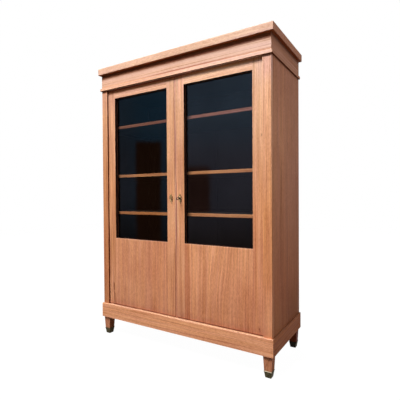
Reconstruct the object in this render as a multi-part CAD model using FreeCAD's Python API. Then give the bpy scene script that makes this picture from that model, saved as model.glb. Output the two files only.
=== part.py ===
import FreeCAD, Part
import math
import os

os.makedirs("parts", exist_ok=True)

# Tall two-door glazed display cabinet. X runs left to right, Y front to back, Z up.
# The origin is on the floor, under the middle of the top slab. Lengths are in mm.
# "Left" and "right" are as seen from the front, where the doors are.

# Overall size
cabinet_height = 2000.0
carcase_width = 1336.0
carcase_depth = 535.0

# Cornice: top slab, flat frieze and the small moulding at the frieze's foot
slab_thickness = 48.0
slab_overhang = 21.0
slab_back_overhang = 4.0
slab_edge_radius = 4.0
frieze_height = 94.0
frieze_proud = 1.0
frieze_thickness = 22.0
moulding_height = 24.0
moulding_projection = 10.0
moulding_face_height = 17.0
moulding_cove_sag = 1.8

# Plinth, legs and brass foot caps
leg_height = 129.0
plinth_height = 102.0
plinth_projection = 10.0
plinth_thickness = 20.0
plinth_edge_radius = 2.5
leg_inset = 38.0
leg_top_width = 54.5
leg_post_gap = 2.0
sabot_height = 40.0
sabot_rim_height = 4.0
sabot_rim_width = 48.5
sabot_shoulder_width = 46.5
sabot_foot_width = 35.0
sabot_wall = 1.2
sabot_sole = 2.0
sabot_fit = 0.1

# Carcase: sides, pilasters, front rails, bottom and top boards
side_thickness = 22.0
pilaster_width = 51.0
pilaster_thickness = 24.0
front_rail_height = 24.0
front_rail_depth = 60.0
board_thickness = 16.0
board_housing = 6.0
board_relief_width = 40.0
board_relief_depth = 6.0
door_stop_gap = 0.4

# Back: a frame of uprights and rails with two loose panels
back_thickness = 20.0
back_rebate = 12.0
back_stile_width = 82.0
back_muntin_width = 70.0
back_rail_height = 90.0
groove_width = 8.0
groove_depth = 8.0
panel_play = 0.3
back_screw_count = 6
back_screw_radius = 2.0
back_screw_length = 38.0
back_screw_head_radius = 4.2
back_screw_head_height = 1.8
back_screw_fit = 0.1
back_screw_end_margin = 90.0

# Shelves on toothed racks
shelf_thickness = 21.0
shelf_door_gap = 8.0
shelf_end_play = 1.5
shelf_back_play = 3.0
shelf_edge_radius = 2.0
shelf_place_shares = (0.18, 0.40, 0.58, 0.82)
rack_width = 18.0
rack_thickness = 14.0
rack_shelf_inset = 25.0
rack_pitch = 30.4
rack_first_ledge = 29.5
rack_tooth_depth = 8.0
cleat_height = 22.0
cleat_play = 0.3

# Doors: stiles, rails, flush lower panel, glass and its beads
door_setback = 12.0
door_thickness = 30.0
door_side_gap = 2.0
door_end_gap = 3.0
glass_sight_inner = 69.0
hinge_stile_width = 65.0
top_rail_height = 64.0
sill_height = 730.0
middle_rail_height = 70.0
bottom_rail_height = 76.0
lower_panel_thickness = 10.0
tenon_length = 35.0
tenon_thickness = 8.0
tenon_setback = 13.0
tenon_inset = 8.0
tenon_end_play = 1.0
glass_thickness = 3.0
bead_thickness = 5.0
glass_play = 1.0
rebate_width = 8.0

# Meeting line: a narrow sunk strip on the right door's edge covers the joint
strip_width = 13.0
strip_recess = 2.5
right_stile_edge = 5.0
meeting_gap = 2.0
meeting_round = 3.0

# Pivot hinges at the top and bottom of each door
pivot_from_edge = 12.0
pivot_from_face = 6.0
pivot_pin_radius = 3.0
pivot_pin_fit = 0.05
pivot_pin_reach = 11.5
pivot_shoulder_width = 2.0
pivot_shoulder_gap = 0.3
pivot_plate_thickness = 2.5
pivot_plate_long = 18.0
pivot_plate_short = 8.0
pivot_plate_margin = 1.6
pivot_plate_rear = 8.0
pivot_bore_play = 0.6
pivot_bore_spare = 2.0

# Lock, bolt and key on the right door, strike plate on the left door
lock_height = 1025.0
keyhole_offset = 37.0
lock_case_width = 48.0
lock_case_height = 80.0
lock_case_thickness = 14.5
lock_case_wall = 2.0
lock_case_play = 0.3
lock_pin_fit = 0.05
lock_bolt_bit_gap = 3.5
lock_bolt_height = 11.0
lock_bolt_thickness = 6.0
lock_bolt_length = 53.0
lock_bolt_tip_inset = 1.0
lock_bolt_play = 0.3
strike_thickness = 1.5
strike_margin = 13.0
strike_side_margin = 3.6
strike_pocket_depth = 12.0
keyhole_play = 0.3
keyhole_slot_side_play = 0.4
keyhole_slot_end_play = 0.5
key_shank_radius = 3.0
key_tip_gap = 1.7
key_bore_radius = 1.55
key_bore_depth = 8.0
key_bow_radius = 9.5
key_bow_wire = 2.0
key_bow_distance = 33.0
key_collar_radius = 4.2
key_collar_length = 3.0
key_collar_distance = 6.0
key_bit_drop = 10.5
key_bit_length = 7.0
key_bit_thickness = 2.4
key_bit_end_gap = 1.0
key_rest_turn = 30.0

# Escutcheons: pierced leaf-shaped plates, one live and one dummy
escutcheon_half_width = 14.5
escutcheon_half_height = 38.0
escutcheon_thickness = 1.8
escutcheon_outline_shares = (
    (0.0, 1.0), (0.22, 0.86), (0.12, 0.72), (0.45, 0.62), (0.88, 0.46), (1.0, 0.24),
    (0.76, 0.07), (0.95, -0.10), (0.84, -0.34), (0.50, -0.54), (0.30, -0.74), (0.17, -0.88),
    (0.0, -1.0),
)
escutcheon_pierce_shares = ((0.52, 0.34, 0.15), (0.50, -0.26, 0.14))
dummy_offset = 36.0
dummy_hole_depth = 3.0

# Edge bolts that hold the left door at top and bottom
edge_bolt_radius = 3.0
edge_bolt_play = 0.1
edge_bolt_length = 110.0
edge_bolt_inset = 9.0
edge_bolt_depth = 15.0
edge_bolt_end_gap = 1.5
edge_bolt_throw = 12.0
edge_bolt_bore_spare = 4.0
edge_bolt_keep_play = 0.4
edge_bolt_keep_spare = 3.5
edge_plate_thickness = 1.5
edge_plate_width = 12.0
edge_plate_length = 56.0
edge_thumb_width = 6.0
edge_thumb_height = 8.0
edge_thumb_proud = 0.8
edge_thumb_play = 1.0
edge_thumb_rise = 18.0

# One overrun for every cut that leaves through a face
overrun = 1.0

# Places that follow from the sizes above
half_width = carcase_width / 2
footprint_depth = slab_overhang + carcase_depth + slab_back_overhang
front_y = slab_overhang - footprint_depth / 2
back_y = front_y + carcase_depth
plinth_top = leg_height + plinth_height
slab_bottom = cabinet_height - slab_thickness
frieze_bottom = slab_bottom - frieze_height
moulding_bottom = frieze_bottom - moulding_height
side_inner = half_width - side_thickness
opening_half = half_width - pilaster_width
floor_top = plinth_top + board_thickness
ceiling_bottom = moulding_bottom - board_thickness
back_inner_y = back_y - back_thickness

door_face_y = front_y + door_setback
door_back_y = door_face_y + door_thickness
door_bottom = plinth_top + door_end_gap
door_top = moulding_bottom - door_end_gap
door_outer = opening_half - door_side_gap
door_stop_y = door_back_y + door_stop_gap
glass_back_y = door_back_y - bead_thickness
glass_front_y = glass_back_y - glass_thickness
glass_sight_outer = door_outer - hinge_stile_width
glass_top = door_top - top_rail_height
strip_edge = right_stile_edge - strip_width
left_stile_edge = -(strip_edge - meeting_gap)
pivot_x = door_outer - pivot_from_edge
pivot_y = door_face_y + pivot_from_face
shelf_front_y = door_back_y + shelf_door_gap
keyhole_radius = key_shank_radius + keyhole_play
edge_bolt_keep_depth = edge_bolt_throw - edge_bolt_end_gap - door_end_gap + edge_bolt_keep_spare

V = FreeCAD.Vector
along_x = V(1, 0, 0)
along_y = V(0, 1, 0)
along_z = V(0, 0, 1)


def block(x0, x1, y0, y1, z0, z1):
    return Part.makeBox(x1 - x0, y1 - y0, z1 - z0, V(x0, y0, z0))


def rod(radius, start, end):
    run = end - start
    return Part.makeCylinder(radius, run.Length, start, run)


def mirrored(shape):
    return shape.mirror(V(0, 0, 0), along_x)


def prism_up(outline, z0, z1):
    corners = [V(x, y, z0) for x, y in outline]
    face = Part.Face(Part.makePolygon(corners + corners[:1]))
    return face.extrude(V(0, 0, z1 - z0))


def square_taper(x, y, levels):
    wires = []
    for z, width in levels:
        half = width / 2
        ring = [V(x - half, y - half, z), V(x + half, y - half, z)]
        ring += [V(x + half, y + half, z), V(x - half, y + half, z)]
        wires.append(Part.makePolygon(ring + ring[:1]))
    return Part.makeLoft(wires, True, True)


def edges_where(shape, test):
    return [edge for edge in shape.Edges if test(edge.BoundBox)]


def save(name, *solids):
    shape = solids[0] if len(solids) == 1 else Part.makeCompound(list(solids))
    shape.exportStep("parts/" + name + ".step")


# Mitred members: a front board with both ends cut at 45 degrees, and the right side board
def mitred_front(outer, face_y, depth, z0, z1):
    outline = [(-outer, face_y), (outer, face_y)]
    outline += [(outer - depth, face_y + depth), (depth - outer, face_y + depth)]
    return prism_up(outline, z0, z1)


def mitred_side(outer, face_y, depth, z0, z1):
    outline = [(outer, face_y), (outer, back_y)]
    outline += [(outer - depth, back_y), (outer - depth, face_y + depth)]
    return prism_up(outline, z0, z1)


# Cornice
def top_slab():
    slab_half = half_width + slab_overhang
    slab_front = front_y - slab_overhang
    slab_back = back_y + slab_back_overhang
    slab = block(-slab_half, slab_half, slab_front, slab_back, slab_bottom, cabinet_height)
    rounded = edges_where(slab, lambda box: box.YMin < slab_back - overrun)
    return slab.makeFillet(slab_edge_radius, rounded)


def frieze_boards():
    outer = half_width + frieze_proud
    face_y = front_y - frieze_proud
    front = mitred_front(outer, face_y, frieze_thickness, frieze_bottom, slab_bottom)
    right = mitred_side(outer, face_y, frieze_thickness, frieze_bottom, slab_bottom)
    inner = outer - frieze_thickness
    back = block(-inner, inner, back_y - frieze_thickness, back_y, frieze_bottom, slab_bottom)
    return front, right, back


def moulding_profile(out_direction, origin):
    def at(out, up):
        return origin + out_direction * out + along_z * up

    start = at(moulding_projection, moulding_face_height)
    end = at(frieze_proud, moulding_height)
    chord = (end - start).normalize()
    sag = chord.cross(along_z.cross(out_direction)) * moulding_cove_sag
    if sag.z > 0:
        sag = sag * -1
    cove = Part.Arc(start, (start + end) / 2 + sag, end).toShape()
    lines = [at(frieze_proud, moulding_height), at(0, moulding_height), at(0, 0)]
    lines += [at(moulding_projection, 0), start]
    straight = [Part.makeLine(a, b) for a, b in zip(lines, lines[1:])]
    return Part.Face(Part.Wire([cove] + straight))


def cornice_mouldings():
    outer = half_width + moulding_projection
    face_y = front_y - moulding_projection
    span = (outer, face_y, moulding_projection, moulding_bottom, frieze_bottom)
    front_run = moulding_profile(V(0, -1, 0), V(-outer, front_y, moulding_bottom))
    front = front_run.extrude(V(2 * outer, 0, 0)).common(mitred_front(*span))
    side_run = moulding_profile(along_x, V(half_width, face_y, moulding_bottom))
    right = side_run.extrude(V(0, back_y - face_y, 0)).common(mitred_side(*span))
    return front.Solids[0], right.Solids[0]


# Plinth and feet
def plinth_boards():
    outer = half_width + plinth_projection
    face_y = front_y - plinth_projection
    span = (outer, face_y, plinth_thickness, leg_height, plinth_top)
    front = mitred_front(*span)
    arris_z = plinth_top - overrun
    top_front = edges_where(front, lambda b: b.YMax < face_y + overrun and b.ZMin > arris_z)
    front = front.makeFillet(plinth_edge_radius, top_front)
    right = mitred_side(*span)
    top_side = edges_where(right, lambda b: b.XMin > outer - overrun and b.ZMin > arris_z)
    right = right.makeFillet(plinth_edge_radius, top_side)
    inner = outer - plinth_thickness
    back = block(-inner, inner, back_inner_y, back_y, leg_height, plinth_top)
    return front, right, back


def sabot_outer_width(z):
    slope_share = (sabot_shoulder_width - sabot_foot_width) / (sabot_height - sabot_rim_height)
    return sabot_foot_width + slope_share * z


def sabot_inner_width(z):
    return sabot_outer_width(z) - 2 * sabot_wall


def leg(x, y):
    levels = [(sabot_sole, sabot_inner_width(sabot_sole) - sabot_fit)]
    levels += [(sabot_height, sabot_inner_width(sabot_height) - sabot_fit)]
    levels += [(leg_height, leg_top_width)]
    shaft = square_taper(x, y, levels)
    # The post stands inside the plinth's corner, so its two outer faces are cut back to the boards
    post_outer_x = half_width + plinth_projection - plinth_thickness
    front_inner_y = front_y - plinth_projection + plinth_thickness
    half = leg_top_width / 2
    y0 = max(y - half, front_inner_y)
    y1 = min(y + half, back_inner_y)
    post_top = plinth_top - front_rail_height - leg_post_gap
    post = block(x - half, post_outer_x, y0, y1, leg_height, post_top)
    return shaft.fuse(post).removeSplitter()


def sabot(x, y):
    rim_z = sabot_height - sabot_rim_height
    body = square_taper(x, y, [(0, sabot_foot_width), (rim_z, sabot_shoulder_width)])
    rim_half = sabot_rim_width / 2
    rim = block(x - rim_half, x + rim_half, y - rim_half, y + rim_half, rim_z, sabot_height)
    top = sabot_height + overrun
    cavity_levels = [(sabot_sole, sabot_inner_width(sabot_sole)), (top, sabot_inner_width(top))]
    return body.fuse(rim).cut(square_taper(x, y, cavity_levels))


# Carcase
def rear_screw_heights():
    low = floor_top + back_screw_end_margin
    high = frieze_bottom - back_screw_end_margin
    step = (high - low) / (back_screw_count - 1)
    return [low + index * step for index in range(back_screw_count)]


def rear_screw_holes(radius):
    x = side_inner + back_rebate / 2
    front = back_y - back_screw_length - overrun
    rods = [rod(radius, V(x, front, z), V(x, back_y + overrun, z)) for z in rear_screw_heights()]
    return Part.makeCompound(rods)


def side_panel():
    pilaster_back_y = front_y + pilaster_thickness
    panel = block(side_inner, half_width, pilaster_back_y, back_y, plinth_top, frieze_bottom)
    housing = (side_inner - overrun, side_inner + board_housing, door_stop_y)
    panel = panel.cut(block(*housing, back_y + overrun, plinth_top - overrun, floor_top))
    panel = panel.cut(block(*housing, back_inner_y, ceiling_bottom, moulding_bottom))
    rebate_x = side_inner + back_rebate
    rebate = block(side_inner - overrun, rebate_x, back_inner_y, back_y + overrun,
                   floor_top, frieze_bottom + overrun)
    return panel.cut(rebate).cut(rear_screw_holes(back_screw_radius + back_screw_fit))


def pilaster():
    return block(opening_half, half_width, front_y, front_y + pilaster_thickness,
                 plinth_top, frieze_bottom)


def carcase_board(rear_y, z0, z1):
    reach = side_inner + board_housing
    board = block(-reach, reach, door_stop_y, rear_y, z0, z1)
    # The door's heel swings a little behind its own back face beside the pilaster
    relief_x = opening_half - board_relief_width
    relief = block(relief_x, reach + overrun, door_stop_y - overrun, door_stop_y + board_relief_depth,
                   z0 - overrun, z1 + overrun)
    return board.cut(relief).cut(mirrored(relief))


def edge_bolt_place():
    return left_stile_edge + edge_bolt_inset, door_face_y + edge_bolt_depth


def edge_bolt_keep(face_z, into):
    """Hole in a front rail that the left door's edge bolt shoots into."""
    x, y = edge_bolt_place()
    start = V(-x, y, face_z - overrun * into)
    return rod(edge_bolt_radius + edge_bolt_keep_play, start,
               V(-x, y, face_z + edge_bolt_keep_depth * into))


def bottom_front_rail():
    outer = half_width + plinth_projection - plinth_thickness
    y0 = front_y - plinth_projection + plinth_thickness
    y1 = front_y + front_rail_depth
    rail = block(-outer, outer, y0, y1, plinth_top - front_rail_height, plinth_top)
    seat = pivot_plate(plinth_top - pivot_plate_thickness, plinth_top + overrun)
    keep = edge_bolt_keep(plinth_top, -1)
    return rail.cut(seat).cut(mirrored(seat)).cut(keep)


def top_front_rail():
    step_y = front_y + pilaster_thickness
    rail = block(-opening_half, opening_half, front_y, step_y, moulding_bottom, frieze_bottom)
    rear_y = front_y + front_rail_depth
    rear = block(-side_inner, side_inner, step_y, rear_y, moulding_bottom, frieze_bottom)
    seat = pivot_plate(moulding_bottom - overrun, moulding_bottom + pivot_plate_thickness)
    keep = edge_bolt_keep(moulding_bottom, 1)
    whole = rail.fuse(rear).removeSplitter()
    return whole.cut(seat).cut(mirrored(seat)).cut(keep)


# Back
def tongue(x0, x1, z0, z1, play):
    middle = (back_inner_y + back_y) / 2
    half = groove_width / 2 - play
    return block(x0, x1, middle - half, middle + half, z0, z1)


def back_frame():
    outer = side_inner + back_rebate
    stile_inner = outer - back_stile_width
    muntin_half = back_muntin_width / 2
    low_rail_top = floor_top + back_rail_height
    high_rail_bottom = frieze_bottom - back_rail_height
    groove_low = low_rail_top - groove_depth
    groove_high = high_rail_bottom + groove_depth
    stile = block(stile_inner, outer, back_inner_y, back_y, floor_top, frieze_bottom)
    groove = tongue(stile_inner - overrun, stile_inner + groove_depth,
                    floor_top - overrun, frieze_bottom + overrun, 0)
    stile = stile.cut(groove).cut(rear_screw_holes(back_screw_radius + back_screw_fit))
    bottom_rail = block(-stile_inner, stile_inner, back_inner_y, back_y, floor_top, low_rail_top)
    top_rail = block(-stile_inner, stile_inner, back_inner_y, back_y, high_rail_bottom, frieze_bottom)
    reach = stile_inner + groove_depth
    bottom_rail = bottom_rail.fuse(tongue(-reach, reach, floor_top, groove_low, 0)).removeSplitter()
    top_rail = top_rail.fuse(tongue(-reach, reach, groove_high, frieze_bottom, 0)).removeSplitter()
    slot = tongue(-stile_inner - overrun, stile_inner + overrun, groove_low, groove_high, 0)
    bottom_rail = bottom_rail.cut(slot)
    top_rail = top_rail.cut(slot)
    muntin = block(-muntin_half, muntin_half, back_inner_y, back_y, low_rail_top, high_rail_bottom)
    edge_groove = tongue(muntin_half - groove_depth, muntin_half + overrun,
                         groove_low - overrun, groove_high + overrun, 0)
    core = muntin_half - groove_depth
    muntin = muntin.cut(edge_groove).cut(mirrored(edge_groove))
    muntin = muntin.fuse(tongue(-core, core, groove_low, groove_high, 0)).removeSplitter()
    panel = tongue(core + panel_play, stile_inner + groove_depth - panel_play,
                   groove_low + panel_play, groove_high - panel_play, panel_play / 2)
    return stile, bottom_rail, top_rail, muntin, panel


def back_screws():
    x = side_inner + back_rebate / 2
    screws = []
    for z in rear_screw_heights():
        seat = V(x, back_y, z)
        shank = rod(back_screw_radius, V(x, back_y - back_screw_length, z), seat)
        head = rod(back_screw_head_radius, seat, V(x, back_y + back_screw_head_height, z))
        screws.append(shank.fuse(head).removeSplitter())
    return screws


# Shelves, racks and cleats
def ledge_heights():
    rack_height = ceiling_bottom - floor_top
    count = int((rack_height - rack_first_ledge) / rack_pitch)
    return [floor_top + rack_first_ledge + index * rack_pitch for index in range(count + 1)]


def shelf_ledges():
    heights = ledge_heights()
    last = len(heights) - 1
    return [heights[round(share * last)] for share in shelf_place_shares]


def rack(plain_y, toothed_y):
    """A vertical strip on the right side panel. Its teeth are on the face at toothed_y."""
    inward = math.copysign(rack_tooth_depth, plain_y - toothed_y)
    heights = ledge_heights()
    outline = [(plain_y, floor_top), (toothed_y, floor_top)]
    for low, high in zip(heights, heights[1:]):
        outline += [(toothed_y, low), (toothed_y + inward, low)]
    outline += [(toothed_y, heights[-1]), (toothed_y, ceiling_bottom), (plain_y, ceiling_bottom)]
    x = side_inner - rack_thickness
    corners = [V(x, y, z) for y, z in outline]
    return Part.Face(Part.makePolygon(corners + corners[:1])).extrude(V(rack_thickness, 0, 0))


def rack_places():
    front = shelf_front_y + rack_shelf_inset
    return (front, front + rack_width), (back_inner_y, back_inner_y - rack_width)


def cleat(ledge):
    (_, front_face), (_, back_face) = rack_places()
    run_back = rack_tooth_depth * (1 - cleat_height / rack_pitch)
    top = ledge + cleat_height
    ends = [(front_face - rack_tooth_depth + cleat_play, ledge)]
    ends += [(front_face - run_back + cleat_play, top), (back_face + run_back - cleat_play, top)]
    ends += [(back_face + rack_tooth_depth - cleat_play, ledge)]
    corners = [V(side_inner - rack_thickness, y, z) for y, z in ends]
    return Part.Face(Part.makePolygon(corners + corners[:1])).extrude(V(rack_thickness, 0, 0))


def shelf(ledge):
    half = side_inner - shelf_end_play
    under = ledge + cleat_height
    rear = back_inner_y - shelf_back_play
    board = block(-half, half, shelf_front_y, rear, under, under + shelf_thickness)
    board = board.makeFillet(shelf_edge_radius, edges_where(
        board, lambda b: b.YMax < shelf_front_y + overrun and b.ZLength < overrun))
    notch_x = side_inner - rack_thickness - shelf_end_play
    for place in rack_places():
        y0 = min(place) - shelf_end_play
        y1 = max(place) + shelf_end_play
        notch = block(notch_x, half + overrun, y0, y1,
                      under - overrun, under + shelf_thickness + overrun)
        board = board.cut(notch).cut(mirrored(notch))
    return board


# Door frame, built for the right door and mirrored for the left one
def rail_with_tenons(inner, outer, y0, z0, z1):
    body = block(inner, outer, y0, door_back_y, z0, z1)
    tenon_y = door_face_y + tenon_setback
    tenons = block(inner - tenon_length, outer + tenon_length, tenon_y, tenon_y + tenon_thickness,
                   z0 + tenon_inset, z1 - tenon_inset)
    return body.fuse(tenons).removeSplitter()


def mortises(edge, direction):
    tenon_y = door_face_y + tenon_setback
    depth = (tenon_length + tenon_end_play) * direction
    x0, x1 = sorted((edge - overrun * direction, edge + depth))
    cuts = []
    for z0, z1 in door_rail_levels():
        cuts.append(block(x0, x1, tenon_y, tenon_y + tenon_thickness,
                          z0 + tenon_inset, z1 - tenon_inset))
    return Part.makeCompound(cuts)


def door_rail_levels():
    return ((glass_top, door_top), (sill_height - middle_rail_height, sill_height),
            (door_bottom, door_bottom + bottom_rail_height))


def glass_rebate():
    return block(glass_sight_inner - rebate_width, glass_sight_outer + rebate_width,
                 glass_front_y, door_back_y + overrun,
                 sill_height - rebate_width, glass_top + rebate_width)


def hinge_stile():
    stile = block(glass_sight_outer, door_outer, door_face_y, door_back_y, door_bottom, door_top)
    stile = stile.cut(glass_rebate()).cut(mortises(glass_sight_outer, 1))
    for seat, outward in ((door_bottom, -1), (door_top, 1)):
        z0, z1 = sorted((seat - pivot_plate_thickness * outward, seat + overrun * outward))
        stile = stile.cut(pivot_plate(z0, z1))
        bore_end = V(pivot_x, pivot_y, seat - (pivot_pin_reach + pivot_bore_spare) * outward)
        bore = rod(pivot_pin_radius + pivot_bore_play, V(pivot_x, pivot_y, seat), bore_end)
        stile = stile.cut(bore)
    return stile


def meeting_stile(edge, edge_round):
    stile = block(edge, glass_sight_inner, door_face_y, door_back_y, door_bottom, door_top)
    arris = edges_where(stile, lambda b: b.XMax < edge + overrun and b.YMax < door_face_y + overrun
                        and b.ZLength > door_thickness)
    stile = stile.makeFillet(edge_round, arris)
    return stile.cut(glass_rebate()).cut(mortises(glass_sight_inner, -1))


def door_rails():
    rails = []
    for index, (z0, z1) in enumerate(door_rail_levels()):
        y0 = door_face_y if index == 0 else door_face_y + lower_panel_thickness
        rail = rail_with_tenons(glass_sight_inner, glass_sight_outer, y0, z0, z1)
        rails.append(rail.cut(glass_rebate()))
    return rails


def lower_panel():
    return block(glass_sight_inner, glass_sight_outer,
                 door_face_y, door_face_y + lower_panel_thickness, door_bottom, sill_height)


def glass_pane():
    cover = rebate_width - glass_play
    return block(glass_sight_inner - cover, glass_sight_outer + cover, glass_front_y, glass_back_y,
                 sill_height - cover, glass_top + cover)


def glazing_beads():
    x0 = glass_sight_inner - rebate_width
    x1 = glass_sight_outer + rebate_width
    z0 = sill_height - rebate_width
    z1 = glass_top + rebate_width
    uprights = [block(x0, glass_sight_inner, glass_back_y, door_back_y, z0, z1)]
    uprights += [block(glass_sight_outer, x1, glass_back_y, door_back_y, z0, z1)]
    levels = [block(glass_sight_inner, glass_sight_outer, glass_back_y, door_back_y, z0, sill_height)]
    levels += [block(glass_sight_inner, glass_sight_outer, glass_back_y, door_back_y, glass_top, z1)]
    return uprights + levels


# Pivot hinges
def pivot_plate(z0, z1):
    return block(pivot_x - pivot_plate_long, pivot_x + pivot_plate_short,
                 door_face_y + pivot_plate_margin, pivot_y + pivot_plate_rear, z0, z1)


def carcase_pivot(seat, upward):
    """Plate let into a front rail, with the pin that the door turns on."""
    z0, z1 = sorted((seat - pivot_plate_thickness * upward, seat))
    shoulder_top = seat + (door_end_gap - pivot_shoulder_gap) * upward
    pin_top = seat + (door_end_gap + pivot_pin_reach) * upward
    foot = V(pivot_x, pivot_y, seat)
    shoulder_radius = pivot_pin_radius + pivot_shoulder_width
    shoulder = rod(shoulder_radius, foot, V(pivot_x, pivot_y, shoulder_top))
    pin = rod(pivot_pin_radius, foot, V(pivot_x, pivot_y, pin_top))
    return pivot_plate(z0, z1).fuse([shoulder, pin]).removeSplitter()


def door_socket(seat, upward):
    """Plate let into the door's edge, with the hole that the pin turns in."""
    z0, z1 = sorted((seat, seat + pivot_plate_thickness * upward))
    hole = rod(pivot_pin_radius + pivot_pin_fit, V(pivot_x, pivot_y, z0 - overrun),
               V(pivot_x, pivot_y, z1 + overrun))
    return pivot_plate(z0, z1).cut(hole)


# Lock, bolt, key and escutcheons
def keyhole(x, y0, y1):
    eye = rod(keyhole_radius, V(x, y0, lock_height), V(x, y1, lock_height))
    half = key_bit_thickness / 2 + keyhole_slot_side_play
    slot_bottom = lock_height - key_bit_drop - keyhole_slot_end_play
    slot = block(x - half, x + half, y0, y1, slot_bottom, lock_height)
    return eye.fuse(slot)


def lock_box(grow, back_grow):
    x0 = right_stile_edge
    z0 = lock_height - lock_case_height / 2
    y1 = door_back_y
    return block(x0 + lock_case_play - grow, x0 + lock_case_width + grow,
                 y1 - lock_case_thickness - grow, y1 - lock_case_play + back_grow,
                 z0 - grow, z0 + lock_case_height + grow)


def bolt_bar(play, x0, x1):
    middle = door_back_y - lock_case_play - (lock_case_thickness - lock_case_play) / 2
    half = lock_bolt_thickness / 2 + play
    z0 = lock_height + key_bit_drop + lock_bolt_bit_gap
    return block(x0, x1, middle - half, middle + half, z0 - play, z0 + lock_bolt_height + play)


def lock_back_wall_y():
    return door_back_y - lock_case_play - lock_case_wall


def lock_case():
    case = lock_box(0, 0)
    cavity = lock_box(-lock_case_wall, -lock_case_wall)
    case = case.cut(cavity)
    front = door_back_y - lock_case_thickness
    case = case.cut(keyhole(keyhole_offset, front - overrun, front + lock_case_wall + overrun))
    case = case.cut(bolt_bar(lock_bolt_play, strip_edge, right_stile_edge + lock_case_width / 2))
    pin_end = V(keyhole_offset, lock_back_wall_y(), lock_height)
    drill_pin = rod(key_bore_radius - lock_pin_fit, pin_end - along_y * key_bore_depth, pin_end)
    return case.fuse(drill_pin).removeSplitter()


def lock_bolt():
    tip = strip_edge + lock_bolt_tip_inset
    return bolt_bar(0, tip, tip + lock_bolt_length)


def strike_plate():
    bar = bolt_bar(lock_bolt_play, strip_edge, right_stile_edge).BoundBox
    edge = -left_stile_edge
    plate = block(edge - strike_thickness, edge,
                  bar.YMin - strike_side_margin, bar.YMax + strike_side_margin,
                  bar.ZMin - strike_margin, bar.ZMax + strike_margin)
    window = bolt_bar(lock_bolt_play, edge - strike_thickness - overrun, edge + overrun)
    pocket = bolt_bar(lock_bolt_play, edge - strike_pocket_depth, edge + overrun)
    return plate, plate.cut(window), pocket


def key():
    """Pipe key in its lock, built with its bow upright and then turned to how it rests."""
    tip_y = lock_back_wall_y() - key_tip_gap
    bow_y = door_face_y - key_bow_distance
    collar_y = door_face_y - key_collar_distance
    centre = V(keyhole_offset, 0, lock_height)

    def on_axis(y):
        return centre + along_y * y

    shank = rod(key_shank_radius, on_axis(bow_y + key_bow_radius), on_axis(tip_y))
    collar = rod(key_collar_radius, on_axis(collar_y - key_collar_length), on_axis(collar_y))
    bow = Part.makeTorus(key_bow_radius, key_bow_wire, on_axis(bow_y), along_x)
    half = key_bit_thickness / 2
    bit_y = tip_y - key_bit_end_gap
    bit = block(keyhole_offset - half, keyhole_offset + half, bit_y - key_bit_length, bit_y,
                lock_height - key_bit_drop, lock_height)
    whole = shank.fuse([collar, bow, bit]).removeSplitter()
    bore = rod(key_bore_radius, on_axis(tip_y - key_bore_depth), on_axis(tip_y + overrun))
    whole = whole.cut(bore)
    whole.rotate(centre, along_y, key_rest_turn)
    return whole


def escutcheon(x):
    y0 = door_face_y - escutcheon_thickness

    def at(width_share, height_share):
        return V(x + width_share * escutcheon_half_width, y0,
                 lock_height + height_share * escutcheon_half_height)

    right = [at(w, h) for w, h in escutcheon_outline_shares]
    left = [at(-w, h) for w, h in reversed(escutcheon_outline_shares)]
    curves = []
    for points in (right, left):
        curve = Part.BSplineCurve()
        curve.interpolate(points)
        curves.append(curve.toShape())
    plate = Part.Face(Part.Wire(curves)).extrude(V(0, escutcheon_thickness, 0))
    for w, h, r in escutcheon_pierce_shares:
        for side in (-1, 1):
            start = at(side * w, h) - along_y * overrun
            end = at(side * w, h) + along_y * (escutcheon_thickness + overrun)
            plate = plate.cut(rod(r * escutcheon_half_width, start, end))
    return plate.cut(keyhole(x, y0 - overrun, door_face_y + overrun))


# Edge bolts, built at the left door's meeting edge on the right-hand side of the mirror
def edge_bolt_parts(seat, outward):
    """Bolt rod with its thumb piece, the flush plate over it, and what the stile loses to them."""
    x, y = edge_bolt_place()
    inner = seat - edge_bolt_end_gap * outward
    tail = inner - edge_bolt_length * outward
    shaft = rod(edge_bolt_radius, V(x, y, tail), V(x, y, inner))
    thumb_z = tail + edge_thumb_rise * outward
    z0, z1 = sorted((thumb_z, thumb_z + edge_thumb_height * outward))
    half = edge_thumb_width / 2
    thumb = block(left_stile_edge - edge_thumb_proud, x, y - half, y + half, z0, z1)
    bolt = shaft.fuse(thumb).removeSplitter()
    half_slot = half + edge_thumb_play
    s0, s1 = sorted((thumb_z - edge_thumb_play * outward,
                     thumb_z + (edge_thumb_height + edge_bolt_throw + edge_thumb_play) * outward))
    slot = block(left_stile_edge - overrun, x, y - half_slot, y + half_slot, s0, s1)
    half_plate = edge_plate_width / 2
    p0, p1 = sorted((tail, tail + edge_plate_length * outward))
    seat_block = block(left_stile_edge, left_stile_edge + edge_plate_thickness,
                       y - half_plate, y + half_plate, p0, p1)
    plate = seat_block.cut(slot)
    bore = rod(edge_bolt_radius + edge_bolt_play, V(x, y, tail - edge_bolt_bore_spare * outward),
               V(x, y, seat + overrun * outward))
    return bolt, plate, [slot, seat_block, bore]


def write_cornice():
    save("top_slab", top_slab())
    front, right, back = frieze_boards()
    save("frieze_front", front)
    save("frieze_right", right)
    save("frieze_left", mirrored(right))
    save("frieze_back", back)
    front, right = cornice_mouldings()
    save("cornice_mouldings", mirrored(right), front, right)


def write_plinth():
    front, right, back = plinth_boards()
    save("plinth_front", front)
    save("plinth_right", right)
    save("plinth_left", mirrored(right))
    save("plinth_back", back)
    x = half_width + plinth_projection - leg_inset
    places = {"front": front_y - plinth_projection + leg_inset, "back": back_y - leg_inset}
    sabots = []
    for end, y in places.items():
        save("leg_" + end + "_right", leg(x, y))
        save("leg_" + end + "_left", mirrored(leg(x, y)))
        sabots += [sabot(x, y), mirrored(sabot(x, y))]
    save("brass_sabots", *sabots)


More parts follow.
